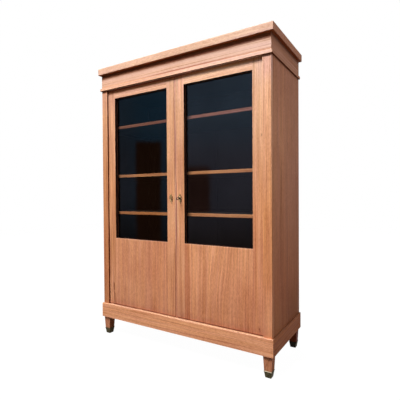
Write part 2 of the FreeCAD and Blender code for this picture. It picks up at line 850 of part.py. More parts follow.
def write_carcase():
    save("side_panel_right", side_panel())
    save("side_panel_left", mirrored(side_panel()))
    save("pilaster_right", pilaster())
    save("pilaster_left", mirrored(pilaster()))
    save("bottom_board", carcase_board(back_y, plinth_top, floor_top))
    save("ceiling_board", carcase_board(back_inner_y, ceiling_bottom, moulding_bottom))
    save("bottom_front_rail", bottom_front_rail())
    save("top_front_rail", top_front_rail())
    stile, bottom_rail, top_rail, muntin, panel = back_frame()
    save("back_uprights", mirrored(stile), muntin, stile)
    save("back_rails", bottom_rail, top_rail)
    save("back_panels", mirrored(panel), panel)
    screws = back_screws()
    save("back_screws", *screws, *[mirrored(screw) for screw in screws])


def write_shelving():
    racks = [rack(plain, toothed) for plain, toothed in rack_places()]
    save("shelf_racks", *racks, *[mirrored(strip) for strip in racks])
    cleats = [cleat(ledge) for ledge in shelf_ledges()]
    save("shelf_cleats", *cleats, *[mirrored(bar) for bar in cleats])
    for number, ledge in enumerate(shelf_ledges(), start=1):
        save("shelf_" + str(number), shelf(ledge))


def write_door_frame(side, place):
    """place puts a piece built for the right door on the door named by side."""
    top, middle, bottom = door_rails()
    save(side + "_door_top_rail", place(top))
    save(side + "_door_lower_rails", place(middle), place(bottom))
    save(side + "_door_lower_panel", place(lower_panel()))
    save(side + "_door_hinge_stile", place(hinge_stile()))
    save(side + "_door_glass", place(glass_pane()))
    save(side + "_door_glazing_beads", *[place(bead) for bead in glazing_beads()])
    sockets = [door_socket(door_bottom, 1), door_socket(door_top, -1)]
    save(side + "_door_pivot_sockets", *[place(socket) for socket in sockets])


def write_right_door():
    write_door_frame("right", lambda shape: shape)
    stile = meeting_stile(right_stile_edge, meeting_round)
    front = door_back_y - lock_case_thickness
    pocket = lock_box(lock_case_play, lock_case_play + overrun)
    stile = stile.cut(pocket).cut(keyhole(keyhole_offset, door_face_y - overrun, front))
    save("right_door_meeting_stile", stile)
    strip = block(strip_edge, right_stile_edge, door_face_y + strip_recess, door_back_y,
                  door_bottom, door_top)
    strip = strip.cut(bolt_bar(lock_bolt_play, strip_edge - overrun, right_stile_edge + overrun))
    save("meeting_strip", strip)
    save("lock_case", lock_case())
    save("lock_bolt", lock_bolt())
    save("key", key())
    save("escutcheon_right", escutcheon(keyhole_offset))


def write_left_door():
    write_door_frame("left", mirrored)
    stile = meeting_stile(left_stile_edge, meeting_round / 2)
    plates = []
    for name, seat, outward in (("top_edge_bolt", door_top, 1), ("bottom_edge_bolt", door_bottom, -1)):
        bolt, plate, losses = edge_bolt_parts(seat, outward)
        save(name, mirrored(bolt))
        plates.append(mirrored(plate))
        for loss in losses:
            stile = stile.cut(loss)
    strike_seat, strike, pocket = strike_plate()
    dummy = rod(keyhole_radius, V(dummy_offset, door_face_y - overrun, lock_height),
                V(dummy_offset, door_face_y + dummy_hole_depth, lock_height))
    stile = mirrored(stile.cut(dummy)).cut(strike_seat).cut(pocket)
    save("left_door_meeting_stile", stile)
    save("edge_bolt_plates", *plates)
    save("strike_plate", strike)
    save("escutcheon_left", escutcheon(-dummy_offset))


def write_pivots():
    pivots = [carcase_pivot(plinth_top, 1), carcase_pivot(moulding_bottom, -1)]
    save("carcase_pivots", *pivots, *[mirrored(pivot) for pivot in pivots])


write_cornice()
write_plinth()
write_carcase()
write_shelving()
write_pivots()
write_right_door()
write_left_door()
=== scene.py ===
"""Display cabinet in stripped mahogany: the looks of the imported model.

Places are in metres in the model's own frame, unless a comment says millimetres. The marks on the wood are set by
place, and they hold some of the photograph's own shade, so that part of the look stays when the light changes."""
import math

import bpy
from mathutils import Matrix, Vector


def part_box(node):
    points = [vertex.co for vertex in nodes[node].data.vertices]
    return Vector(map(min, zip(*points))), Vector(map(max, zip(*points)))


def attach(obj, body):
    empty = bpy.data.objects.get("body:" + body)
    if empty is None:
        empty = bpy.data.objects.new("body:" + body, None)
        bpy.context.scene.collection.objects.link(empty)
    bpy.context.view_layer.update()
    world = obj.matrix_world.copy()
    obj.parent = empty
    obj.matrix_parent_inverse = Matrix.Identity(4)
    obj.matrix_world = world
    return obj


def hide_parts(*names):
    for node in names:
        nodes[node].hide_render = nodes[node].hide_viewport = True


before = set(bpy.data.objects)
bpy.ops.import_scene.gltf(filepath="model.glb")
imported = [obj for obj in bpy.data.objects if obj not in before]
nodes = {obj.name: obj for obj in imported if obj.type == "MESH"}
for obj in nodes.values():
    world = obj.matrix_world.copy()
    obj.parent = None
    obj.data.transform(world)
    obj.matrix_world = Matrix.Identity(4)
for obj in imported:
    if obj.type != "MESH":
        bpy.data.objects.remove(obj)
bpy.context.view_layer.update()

CARCASE_FRONT, DOOR_FRONT, SHELF_FRONT = -0.259, -0.247, -0.209
PILASTER_INSIDE, PANEL_INSIDE = 0.617, 0.646  # inner faces, on either side of the middle
SLAB_TOP, SLAB_BOTTOM, FRIEZE_BOTTOM, MOULDING_BOTTOM, PLINTH_TOP = 2.0, 1.952, 1.858, 1.834, 0.231
# The glass openings: the edges of the stiles beside them, on either side of the middle, and their foot and head.
INNER_STILE, OUTER_STILE, SILL, GLASS_TOP = 0.069, 0.550, 0.730, 1.767
LIP = 0.0002  # how far to either side of a face a mask still takes it


def linear(r, g, b):
    """A colour given in 0-255 display values, as Blender's linear values."""
    return tuple(v / 255 / 12.92 if v < 10.4 else ((v / 255 + 0.055) / 1.055) ** 2.4 for v in (r, g, b))


class Shade:
    """A material or world under construction, with one short call for each kind of node."""

    def __init__(self, data):
        self.data = data
        self.data.use_nodes = True
        self.tree = self.data.node_tree
        self.tree.nodes.clear()
        self.coords = None

    def add(self, kind, inputs=None, **settings):
        node = self.tree.nodes.new("ShaderNode" + kind)
        for key, value in settings.items():
            setattr(node, key, value)
        for key, value in (inputs or {}).items():
            if isinstance(value, bpy.types.NodeSocket):
                self.tree.links.new(value, node.inputs[key])
            else:
                node.inputs[key].default_value = value
        return node

    def position(self):
        """The point in the model's own frame, as x, y and z."""
        if self.coords is None:
            out = self.add("SeparateXYZ", {0: self.add("TexCoord").outputs["Object"]}).outputs
            self.coords = out[0], out[1], out[2]
        return self.coords

    def sideways(self):
        """How far the face looks to the left or right, from 0 to 1."""
        normal = self.add("TexCoord").outputs["Normal"]
        return self.math("ABSOLUTE", self.add("SeparateXYZ", {0: normal}).outputs[0])

    def math(self, op, *values):
        return self.add("Math", dict(enumerate(values)), operation=op).outputs[0]

    def total(self, first, *rest):
        for value in rest:
            first = self.math("ADD", first, value)
        return first

    def vector(self, x, y, z):
        return self.add("CombineXYZ", {0: x, 1: y, 2: z}).outputs[0]

    def times(self, colour, by):
        """A colour times another, channel by channel."""
        return self.add("VectorMath", {0: colour, 1: by}, operation="MULTIPLY").outputs[0]

    def scaled(self, colour, by):
        return self.add("VectorMath", {0: colour, "Scale": by}, operation="SCALE").outputs[0]

    def blend(self, factor, first, second):
        return self.add("MixRGB", {0: factor, 1: first, 2: second}).outputs[0]

    def noise(self, where, scale, detail=2.0, rough=0.5):
        """Noise from about -1 to 1."""
        out = self.add("TexNoise", {"Vector": where, "Scale": scale, "Detail": detail, "Roughness": rough}).outputs[0]
        return self.math("MULTIPLY_ADD", out, 4.0, -2.0)

    def ease(self, value, start, end):
        """0 before start, 1 past end, smooth between. It falls where start is past end."""
        if start > end:
            return self.math("SUBTRACT", 1.0, self.ease(value, end, start))
        return self.add("MapRange", {0: value, 1: start, 2: end}, interpolation_type="SMOOTHSTEP").outputs[0]

    def within(self, value, low, high, soft):
        """1 between low and high and 0 outside, with a change that takes soft to either side of each."""
        return self.math(
            "MULTIPLY", self.ease(value, low - soft, low + soft), self.ease(value, high + soft, high - soft))

    def ramp(self, value, stops, span):
        """A colour that runs through the stops, each a value and a colour, up to a value of span."""
        node = self.add("ValToRGB", {0: self.math("DIVIDE", value, span)})
        marks = node.color_ramp.elements
        while len(marks) < len(stops):
            marks.new(1.0)
        for mark, (at, colour) in zip(marks, stops):
            mark.position, mark.color = at / span, (*colour, 1)
        return node.outputs[0]

    def both(self, *masks):
        first = masks[0]
        for mask in masks[1:]:
            first = self.math("MULTIPLY", first, mask)
        return first

    def output(self, surface):
        self.tree.links.new(surface, self.add("OutputMaterial").inputs[0])
        return self.data

    def finish(self, base, rough, height, bump, depth, gloss, metal=0.0):
        normal = self.add("Bump", {"Height": height, "Strength": bump, "Distance": depth}).outputs[0]
        return self.output(self.add("BsdfPrincipled", {
            "Base Color": base, "Roughness": rough, "Metallic": metal, "Specular IOR Level": gloss, "Normal": normal,
        }).outputs[0])


def new_shade(name):
    return Shade(bpy.data.materials.new(name))


def cover(names, material):
    for name in names:
        nodes[name].material_slots[0].material = material


def edge_distance(s, box):
    """How far a point on a box's surface is from the box's nearest edge."""
    low, high = box
    gaps = [
        s.math("MINIMUM", s.math("SUBTRACT", p, low[i]), s.math("SUBTRACT", high[i], p))
        for i, p in enumerate(s.position())
    ]
    widest = s.math("MAXIMUM", s.math("MAXIMUM", gaps[0], gaps[1]), gaps[2])
    return s.math("SUBTRACT", s.total(*gaps), widest)


DARK_REVEAL = linear(40, 12, 6)
UNSEEN = (0.026, 0.017, 0.013)
# The wood's colour at heights in metres, partly painted light. It is more orange and darker towards the floor, partly
# painted shade of the weaker light there, and paler and pinker at the top, partly a painted highlight of the brighter
# light there. SIDE is painted shade: the sides are redder and darker than the front, and darkest at their foot.
FRONT = (
    (0.15, (0.69, 0.30, 0.155)),
    (0.50, (0.77, 0.33, 0.17)),
    (1.05, (0.78, 0.36, 0.185)),
    (1.62, (0.80, 0.425, 0.25)),
    (1.95, (0.78, 0.48, 0.35)),
)
SIDE = (
    (0.15, (0.42, 0.142, 0.054)),
    (0.50, (0.585, 0.209, 0.100)),
    (1.35, (0.82, 0.37, 0.218)),
    (1.95, (0.61, 0.256, 0.148)),
)
ORANGE, MAUVE = (1.015, 1.01, 0.93), (0.985, 0.975, 1.04)
# Darker wood is redder, so green and blue change more than red.
DEPTH_BY_CHANNEL = (0.68, 1.0, 1.14)
DARKEST = -0.65


def wood(
    node, grain, tint, seed, band=0.016, bands=0.18, fine=0.10, drift=0.08, light=(0.03, 0.0), darker=(0.03, 0.0),
    wander=0.004, lean=None, change=None, dark=None, levels=FRONT, line=0.14, run=0.010,
):
    """Old mahogany with its polish stripped off: pink, orange and tan bands along the grain over fine lines and pores.

    band is the width of a band; bands, fine and drift are how strongly the bands, the fine lines and the slow change
    show. light and darker are thin lines: how far apart, and how strong; line is their width, and run how fast they
    change along the grain. wander is how far the grain strays sideways, and lean shifts it. change gives the piece's
    own marks, and dark tells where the piece is dark; lean, change and dark take the shade. levels is the colour by
    height, and None takes FRONT or SIDE by the way the face looks."""
    s = new_shade(node + "_wood")
    x, y, z = s.position()
    a, b, along = {"X": (z, y, x), "Y": (z, x, y), "Z": (x, y, z), "XY": (z, 0.0, s.total(x, y))}[grain]
    if lean:
        a = lean(s, a)
    offset = (seed * 1.37 % 7, seed * 2.91 % 5, seed * 0.73 % 9)
    flow = s.noise(s.vector(a, s.math("ADD", b, offset[1]), s.math("MULTIPLY_ADD", along, 0.55, offset[2])), 4.5, 1.0)
    a = s.total(s.math("MULTIPLY_ADD", flow, wander, a), offset[0])
    b = s.total(b, offset[1])

    def strands(stretch, shift=0.0):
        return s.vector(a, b, s.math("MULTIPLY_ADD", along, stretch, offset[2] + shift))

    def layer(stretch, scale, detail=2.0, rough=0.5, shift=0.0):
        """One layer of the figure; the smaller stretch is, the longer its strands are."""
        return s.noise(strands(stretch, shift), scale, detail, rough)

    def thin(spacing, shift):
        """Thin lines along the grain, about so far apart, that come and go."""
        mark = s.ease(s.math("ABSOLUTE", layer(run, 0.55 / spacing, 1.0, 0.4, shift)), line, 0.02)
        return s.both(mark, s.ease(layer(0.3, 5.0, 1.0, shift=shift), -1.1, 0.3))

    wide = layer(0.035, 0.5 / band, rough=0.55)
    narrow = layer(0.016, 1.5 / band, rough=0.6)
    threads = layer(0.009, 260.0, rough=0.7, shift=5.0)
    lines = layer(0.012, 620.0, rough=0.6)
    fleck = layer(0.30, 190.0, rough=0.7)
    pores = s.ease(layer(0.03, 1500.0, 1.0), 0.45, 0.9)
    slow = layer(0.35, 5.0)
    cloud = s.noise(s.vector(a, b, s.math("MULTIPLY_ADD", along, 0.6, offset[0])), 14.0, 2.0)
    weights = (
        (wide, bands), (narrow, bands * 1.35), (threads, fine * 1.9), (lines, fine), (fleck, fine * 1.8),
        (pores, -0.2), (slow, drift), (cloud, drift * 0.6),
    )
    tone = s.total(*(s.math("MULTIPLY", part, weight) for part, weight in weights))
    if light[1]:
        tone = s.math("MULTIPLY_ADD", thin(light[0], 1.7), light[1], tone)
    if darker[1]:
        tone = s.math("MULTIPLY_ADD", thin(darker[0], 3.1), -darker[1], tone)
    edge = edge_distance(s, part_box(node))
    wear_and_highlight = s.ease(s.math("MULTIPLY_ADD", cloud, 0.0012, edge), 0.0035, 0.0008)
    tone = s.math("MAXIMUM", s.math("MULTIPLY_ADD", wear_and_highlight, 0.10, tone), DARKEST)
    hue = s.ease(layer(0.04, 0.8 / band), -0.8, 0.8)
    orange, mauve = (tuple(t * k for t, k in zip(tint, cast)) for cast in (ORANGE, MAUVE))
    base = s.ramp(z, levels or FRONT, SLAB_TOP)
    # Faces that look sideways take SIDE, the painted shade of the sides.
    if levels is None:
        base = s.blend(s.ease(s.sideways(), 0.5, 0.8), base, s.ramp(z, SIDE, SLAB_TOP))
    colour = s.times(base, s.blend(hue, (*orange, 1), (*mauve, 1)))
    deep = s.add(
        "VectorMath", {0: s.vector(tone, tone, tone), 1: DEPTH_BY_CHANNEL, 2: (1, 1, 1)}, operation="MULTIPLY_ADD")
    colour = s.times(colour, deep.outputs[0])
    if change:
        colour = change(s, colour)
    if dark:
        mask, shade = dark(s)
        colour = s.blend(mask, colour, (*shade, 1))
    rough = s.math("MULTIPLY_ADD", wide, 0.05, s.math("MULTIPLY_ADD", wear_and_highlight, -0.06, 0.66))
    height = s.total(*(s.math("MULTIPLY", part, by) for part, by in ((lines, 0.25), (pores, -0.6), (wide, 0.25))))
    return s.finish(colour, rough, height, bump=0.35, depth=0.0005, gloss=0.12)


def stain(s, colour, mask, shade):
    """The colour, times the shade where the mask is 1."""
    return s.times(colour, s.blend(mask, (1, 1, 1, 1), (*shade, 1)))


def fade(s, colour, start, end, shade):
    """The colour, times the shade from one height on, upwards or downwards."""
    return stain(s, colour, s.ease(s.position()[2], start, end), shade)


def fades(s, colour, rows):
    """The colour through one fade after another, each a start, an end and a shade."""
    for row in rows:
        colour = fade(s, colour, *row)
    return colour


def spot(s, x0, z0, wide, tall):
    """A soft oval on a front face, 1 at its middle."""
    x, y, z = s.position()
    dx = s.math("DIVIDE", s.math("SUBTRACT", x, x0), wide)
    dz = s.math("DIVIDE", s.math("SUBTRACT", z, z0), tall)
    apart = s.math("ADD", s.math("MULTIPLY", dx, dx), s.math("MULTIPLY", dz, dz))
    return s.math("EXPONENT", s.math("MULTIPLY", apart, -1.0))


def hump(s, value, centre, wide):
    """1 at the centre, falling softly on both sides."""
    off = s.math("DIVIDE", s.math("SUBTRACT", value, centre), wide)
    return s.math("EXPONENT", s.math("MULTIPLY", s.math("MULTIPLY", off, off), -1.0))


def below_cornice(s, colour):
    """Painted shadow cast by the moulding on the doors, reaching lower on the left."""
    x, y, z = s.position()
    z = s.math("MULTIPLY_ADD", s.ease(x, 0.1, -0.3), 0.0045, z)
    z = s.math("MULTIPLY_ADD", s.ease(x, 0.0, 0.4), -0.006, z)
    colour = stain(s, colour, s.ease(z, 1.803, 1.818), (0.74, 0.50, 0.32))
    return stain(s, colour, s.ease(z, 1.820, 1.832), (0.66, 0.42, 0.28))


def grime_and_shade(s, colour):
    """The darker, mauve foot of a door just above the plinth, partly dirt and partly painted shade,
    and the painted shadow of the moulding at its top.
    """
    x, y, z = s.position()
    patch = s.noise(s.vector(x, y, z), 22.0, 3.0, 0.6)
    low = s.ease(s.math("MULTIPLY_ADD", patch, 0.012, z), 0.290, 0.240)
    colour = stain(s, colour, low, (0.82, 0.80, 0.86))
    colour = fade(s, colour, 0.2405, 0.236, (0.42, 0.30, 0.32))
    return below_cornice(s, colour)


# From the key's height up the middle of the doors is redder, where hands took the polish off.
HANDLED = (1.00, 1.25, (0.90, 0.88, 0.87))


def strip_marks(s, colour):
    """The strip is painted paler on its left and near its top, a painted lightening of the shade there, and is dark
    along the seam on its right.
    """
    x, y, z = s.position()
    wear_and_highlight = s.both(s.within(x, -0.0095, -0.0040, 0.0008), s.within(z, 0.70, 1.20, 0.08))
    colour = stain(s, colour, wear_and_highlight, (1.50, 1.95, 2.00))
    for low, high, shade in ((0.68, 1.50, (0.80, 0.76, 0.87)), (0.74, 1.08, (0.80, 0.75, 0.82))):
        seam = s.both(s.ease(x, -0.0042, -0.0026), s.within(z, low, high, 0.08))
        colour = stain(s, colour, seam, shade)
    return below_cornice(s, fades(s, colour, ((1.66, 1.76, (1.24, 1.20, 1.18)), HANDLED)))


def meeting_marks(s, colour):
    return grime_and_shade(s, fade(s, colour, *HANDLED))


def left_meeting_marks(s, colour):
    """The left door's keyhole is blind, with painted shade darkening the wood behind it, and the stile is paler beside
    the strip.
    """
    x, y, z = s.position()
    hole = s.both(spot(s, -0.036, 1.022, 0.0045, 0.0085), s.ease(y, DOOR_FRONT + 0.0004, DOOR_FRONT + 0.0002))
    colour = stain(s, colour, s.within(z, 0.82, 1.00, 0.05), (1.03, 1.10, 1.15))
    colour = stain(s, colour, s.within(z, 0.46, 0.64, 0.05), (0.95, 0.96, 0.94))
    pale = s.both(s.ease(x, -0.0210, -0.0190), s.within(z, 0.70, 1.10, 0.08))
    colour = stain(s, colour, pale, (1.16, 1.20, 1.22))
    return meeting_marks(s, stain(s, colour, hole, (0.06, 0.04, 0.04)))


def right_meeting_marks(s, colour):
    """The right stile is dark beside the strip at the keyhole's height, and pale next to that."""
    x, y, z = s.position()
    colour = stain(s, colour, s.within(z, 0.48, 0.68, 0.05), (1.05, 1.11, 1.12))
    seam = s.both(s.within(x, 0.0040, 0.0125, 0.0008), s.within(z, 0.76, 1.14, 0.06))
    colour = stain(s, colour, seam, (0.68, 0.59, 0.73))
    pale = s.both(s.within(x, 0.0130, 0.0215, 0.001), s.within(z, 0.76, 1.04, 0.06))
    colour = stain(s, colour, pale, (1.10, 1.36, 1.44))
    high = s.both(s.ease(x, 0.030, 0.020), s.ease(z, 1.68, 1.76))
    colour = stain(s, colour, high, (0.77, 0.78, 0.78))
    return meeting_marks(s, fades(s, colour, (
        (1.30, 1.45, (1.04, 1.09, 1.11)),
        (1.66, 1.76, (1.14, 1.06, 1.04)),
        (0.45, 0.28, (0.88, 0.86, 0.88)),
    )))


def arris(s, colour):
    """A painted highlight along the top edge of a lower panel, where its arris catches the light."""
    return fade(s, colour, SILL - 0.0055, SILL - 0.0035, (1.20, 1.36, 1.55))


def slab_marks(s, colour):
    """The slab's underside is darkened with painted shade, its top is dull, and its left end is more tan."""
    colour = stain(s, colour, s.ease(s.position()[0], 0.2, -0.4), (1.0, 0.965, 0.90))
    return fades(s, colour, (
        (SLAB_TOP - 0.0006, SLAB_TOP - 0.0001, (0.74, 0.66, 0.60)),
        (SLAB_BOTTOM + 0.0015, SLAB_BOTTOM + 0.0004, (0.45, 0.18, 0.06)),
    ))


def moulding_marks(s, colour):
    """The moulding is more tan on the left, darker at its ends, painted paler on its lower part where it turns from the
    light, and darkened underneath with painted shade.
    """
    x = s.position()[0]
    colour = stain(s, colour, s.ease(x, 0.35, -0.35), (0.96, 0.86, 0.74))
    colour = stain(s, colour, s.ease(s.math("ABSOLUTE", x), 0.6705, 0.6712), (0.845, 0.81, 0.76))
    return fades(s, colour, (
        (1.850, 1.841, (1.20, 1.18, 1.14)),
        (MOULDING_BOTTOM + 0.0016, MOULDING_BOTTOM + 0.0004, (0.22, 0.11, 0.05)),
    ))


def frieze_marks(s, colour):
    """The painted shadow under the slab, which reaches less far down towards the right end."""
    x, y, z = s.position()
    height = s.math("MULTIPLY_ADD", s.ease(x, 0.30, 0.65), -0.006, z)
    patch = s.noise(s.vector(x, y, z), 16.0, 3.0, 0.6)
    under = s.ease(s.math("MULTIPLY_ADD", patch, 0.002, height), 1.904, 1.929)
    colour = stain(s, colour, under, (0.36, 0.23, 0.17))
    colour = fade(s, colour, 1.926, 1.938, (0.80, 0.55, 0.30))
    colour = stain(s, colour, s.ease(x, 0.35, -0.35), (0.97, 0.90, 0.80))
    return fade(s, colour, FRIEZE_BOTTOM + 0.0045, FRIEZE_BOTTOM + 0.001, (0.85, 0.72, 0.68))


def side_frieze_marks(s, colour):
    # Painted shadow under the slab, and a darker foot.
    x, y, z = s.position()
    patch = s.noise(s.vector(x, y, z), 16.0, 3.0, 0.6)
    under = s.ease(s.math("MULTIPLY_ADD", patch, 0.003, z), 1.905, 1.940)
    colour = stain(s, colour, under, (0.50, 0.42, 0.40))
    return fade(s, colour, FRIEZE_BOTTOM + 0.0045, FRIEZE_BOTTOM + 0.001, (0.80, 0.70, 0.68))


def plinth_marks(s, colour):
    """The plinth's narrow top is greyer than its face."""
    return fade(s, colour, PLINTH_TOP - 0.0015, PLINTH_TOP - 0.0004, (0.80, 1.02, 1.22))


def side_plinth_marks(s, colour):
    return fade(s, colour, PLINTH_TOP - 0.0015, PLINTH_TOP - 0.0004, (0.80, 1.10, 1.50))


def side_marks(s, colour):
    """The sides darken towards the back and the floor: painted shade, where less light reaches them."""
    x, y, z = s.position()
    cloud = s.noise(s.vector(x, y, s.math("MULTIPLY", z, 0.4)), 9.0, 3.0, 0.6)
    rear = s.ease(s.math("MULTIPLY_ADD", cloud, 0.05, y), -0.16, 0.26)
    colour = stain(s, colour, rear, (0.86, 0.86, 0.87))
    low = s.both(s.ease(z, 0.60, 0.25), s.ease(y, -0.10, 0.15))
    return stain(s, colour, low, (0.80, 0.74, 0.61))


def right_panel_lean(s, a):
    """The figure leans in the middle of the right panel, and stands straight at its sides."""
    height = s.math("SUBTRACT", s.position()[2], 0.50)
    bend = s.math("MULTIPLY_ADD", s.math("MULTIPLY", height, height), -0.16, s.math("MULTIPLY", height, -0.10))
    return s.math("MULTIPLY_ADD", hump(s, a, 0.335, 0.10), bend, a)


def right_panel_marks(s, colour):
    """A dark and then a pale stripe at the panel's left, and a darker low right corner."""
    x, y, z = s.position()
    colour = stain(s, colour, s.ease(x, 0.1100, 0.1085), (0.80, 0.70, 0.66))
    colour = stain(s, colour, s.within(x, 0.1115, 0.119, 0.003), (1.10, 1.14, 1.12))
    colour = stain(s, colour, s.both(s.ease(x, 0.40, 0.52), s.ease(z, 0.72, 0.40)), (0.93, 0.86, 0.84))
    colour = fade(s, colour, 0.60, 0.30, (0.95, 0.92, 0.92))
    return arris(s, grime_and_shade(s, colour))


def left_panel_marks(s, colour):
    """A pale patch on the left of the panel, and a darker one on its right."""
    x, y, z = s.position()
    cloud = s.math("MULTIPLY_ADD", s.noise(s.vector(x, y, z), 11.0, 3.0, 0.6), 0.35, 0.65)
    for centre, wide, shade in ((-0.38, 0.13, (1.07, 1.13, 1.17)), (-0.17, 0.07, (0.92, 0.85, 0.83))):
        colour = stain(s, colour, s.math("MULTIPLY", hump(s, x, centre, wide), cloud), shade)
    return arris(s, grime_and_shade(s, colour))


# Small knots on the right door's outer stile: x, z, half width, half height and strength.
KNOTS = (
    (0.606, 1.387, 0.004, 0.007, 0.5),
    (0.587, 0.268, 0.0028, 0.006, 0.95),
    (0.591, 0.258, 0.0022, 0.004, 0.7),
)


def knots(s, colour):
    """The knots, each with a faint, longer halo."""
    for x0, z0, wide, tall, strength in KNOTS:
        mark = s.math("MULTIPLY", spot(s, x0, z0, wide, tall), strength)
        colour = stain(s, colour, mark, (0.25, 0.10, 0.08))
        halo = s.math("MULTIPLY", spot(s, x0, z0, wide * 2.0, tall * 3.0), strength * 0.4)
        colour = stain(s, colour, halo, (0.85, 0.72, 0.68))
    return grime_and_shade(s, fades(s, colour, (
        (0.50, 0.38, (0.94, 0.90, 0.90)),
        (0.85, 1.45, (1.0, 1.12, 1.20)),
    )))


def crack(s, colour):
    """A drying crack low on the left door's outer stile, stronger in some stretches than in others."""
    x, y, z = s.position()
    wave = s.math("MULTIPLY", s.noise(s.vector(0.0, 0.0, z), 12.0, 2.0), 0.0016)
    middle = s.math("MULTIPLY_ADD", s.ease(z, 0.33, 0.30), -0.0060, 0.5742)
    line = s.ease(s.math("ABSOLUTE", s.total(x, middle, wave)), 0.0075, 0.0035)
    strong = s.within(z, 0.335, 0.395, 0.015)
    for low, high, soft, strength in ((0.24, 0.33, 0.02, 0.85), (0.38, 0.47, 0.03, 0.30)):
        strong = s.math("MAXIMUM", strong, s.math("MULTIPLY", s.within(z, low, high, soft), strength))
    colour = stain(s, colour, s.both(line, strong), (0.34, 0.22, 0.16))
    outside = s.both(s.ease(x, -0.578, -0.584), s.ease(z, 0.48, 0.40))
    colour = stain(s, colour, outside, (1.13, 1.19, 1.21))
    return grime_and_shade(s, fades(s, colour, (
        (0.68, 0.35, (1.26, 1.37, 1.53)),
        (1.00, 1.15, (1.07, 1.07, 1.08)),
        (1.30, 1.45, (0.96, 0.95, 1.01)),
        (1.60, 1.76, (0.94, 0.88, 0.875)),
    )))


def leg_marks(s, colour):
    """A dark band just above the sabot."""
    return stain(s, colour, s.within(s.position()[2], 0.036, 0.046, 0.002), (0.70, 0.74, 0.76))


def right_leg_marks(s, colour):
    """A dark figure runs down across the right leg's front."""
    x, y, z = s.position()
    off = s.math("SUBTRACT", s.math("MULTIPLY_ADD", z, -0.55, x), 0.591)
    return leg_marks(s, stain(s, colour, s.within(off, -0.004, 0.004, 0.005), (0.76, 0.70, 0.66)))


def post_marks(s, colour):
    """A pilaster's top, just under the moulding, with the moulding's painted shadow, reaching lower on the left."""
    x, y, z = s.position()
    z = s.math("MULTIPLY_ADD", s.ease(x, 0.1, -0.3), 0.010, z)
    return stain(s, colour, s.ease(z, 1.8200, 1.8320), (0.58, 0.40, 0.30))


def left_post_marks(s, colour):
    """The left pilaster is paler in its upper half, and darker again near its top."""
    return post_marks(s, fades(s, colour, (
        (1.20, 1.50, (1.06, 1.10, 1.17)),
        (1.62, 1.76, (0.90, 0.83, 0.87)),
    )))


def right_post_marks(s, colour):
    """The right pilaster is more orange in its lower half, and pinker at its foot and towards its top."""
    return post_marks(s, fades(s, colour, (
        (1.15, 0.90, (0.92, 0.85, 0.76)),
        (0.60, 0.42, (1.14, 1.22, 1.42)),
        (0.33, 0.25, (0.95, 0.89, 0.88)),
        (1.65, 1.76, (0.95, 0.92, 1.03)),
        (1.25, 1.65, (1.05, 1.09, 1.17)),
    )))


def shelf_marks(s, colour):
    """The left half of a shelf's front edge is the darker one."""
    return stain(s, colour, s.ease(s.position()[0], 0.06, -0.06), (0.76, 0.67, 0.52))


def shelf_end_marks(s, colour):
    """The two upper shelves darken towards their left ends."""
    return stain(s, colour, s.ease(s.position()[0], -0.35, -0.55), (0.84, 0.86, 0.86))


def top_shelf_marks(s, colour):
    return shelf_end_marks(s, shelf_marks(s, colour))


def reveal_mask(s):
    """The edges of the glass openings: dark stain left when the faces were stripped, deepened with painted shade."""
    x, y, z = s.position()
    side = s.math("ABSOLUTE", x)

    def face(value, at):
        return s.within(value, at - LIP, at + LIP, LIP)

    behind = s.ease(y, DOOR_FRONT + 0.0002, DOOR_FRONT + 0.0008)
    upright = s.math("MAXIMUM", face(side, INNER_STILE), face(side, OUTER_STILE))
    level = s.math("MAXIMUM", face(z, GLASS_TOP), face(z, SILL))
    opening = s.within(z, SILL - 0.0005, GLASS_TOP + 0.0005, 0.0005)
    return s.both(behind, s.math("MAXIMUM", s.both(upright, opening), level)), DARK_REVEAL


def shelf_mask(s):
    """A shelf shows its wood on the front edge only, and less where painted shadow falls behind the posts of the doors.
    """
    x, y, z = s.position()
    left = s.math("MULTIPLY", s.within(x, -0.65, -0.545, 0.018), 0.65)
    middle = s.math("MULTIPLY", s.both(s.ease(x, 0.118, 0.072), s.ease(x, -0.070, -0.050)), 0.68)
    behind = s.ease(y, SHELF_FRONT + 0.0005, SHELF_FRONT + 0.0025)
    return s.math("MAXIMUM", behind, s.math("MAXIMUM", left, middle)), UNSEEN


def inner_side_mask(s):
    """The inner face of a side panel."""
    return s.ease(s.math("ABSOLUTE", s.position()[0]), PANEL_INSIDE + 0.0015, PANEL_INSIDE + 0.0005), UNSEEN


def door_edge_mask(s):
    """The inner return of a pilaster, beside the door: dark stain and the painted shade of the narrow gap."""
    x, y, z = s.position()
    inner = s.ease(s.math("ABSOLUTE", x), PILASTER_INSIDE + 0.0015, PILASTER_INSIDE + 0.0005)
    return s.both(inner, s.ease(y, CARCASE_FRONT + 0.0002, CARCASE_FRONT + 0.001)), linear(105, 48, 28)


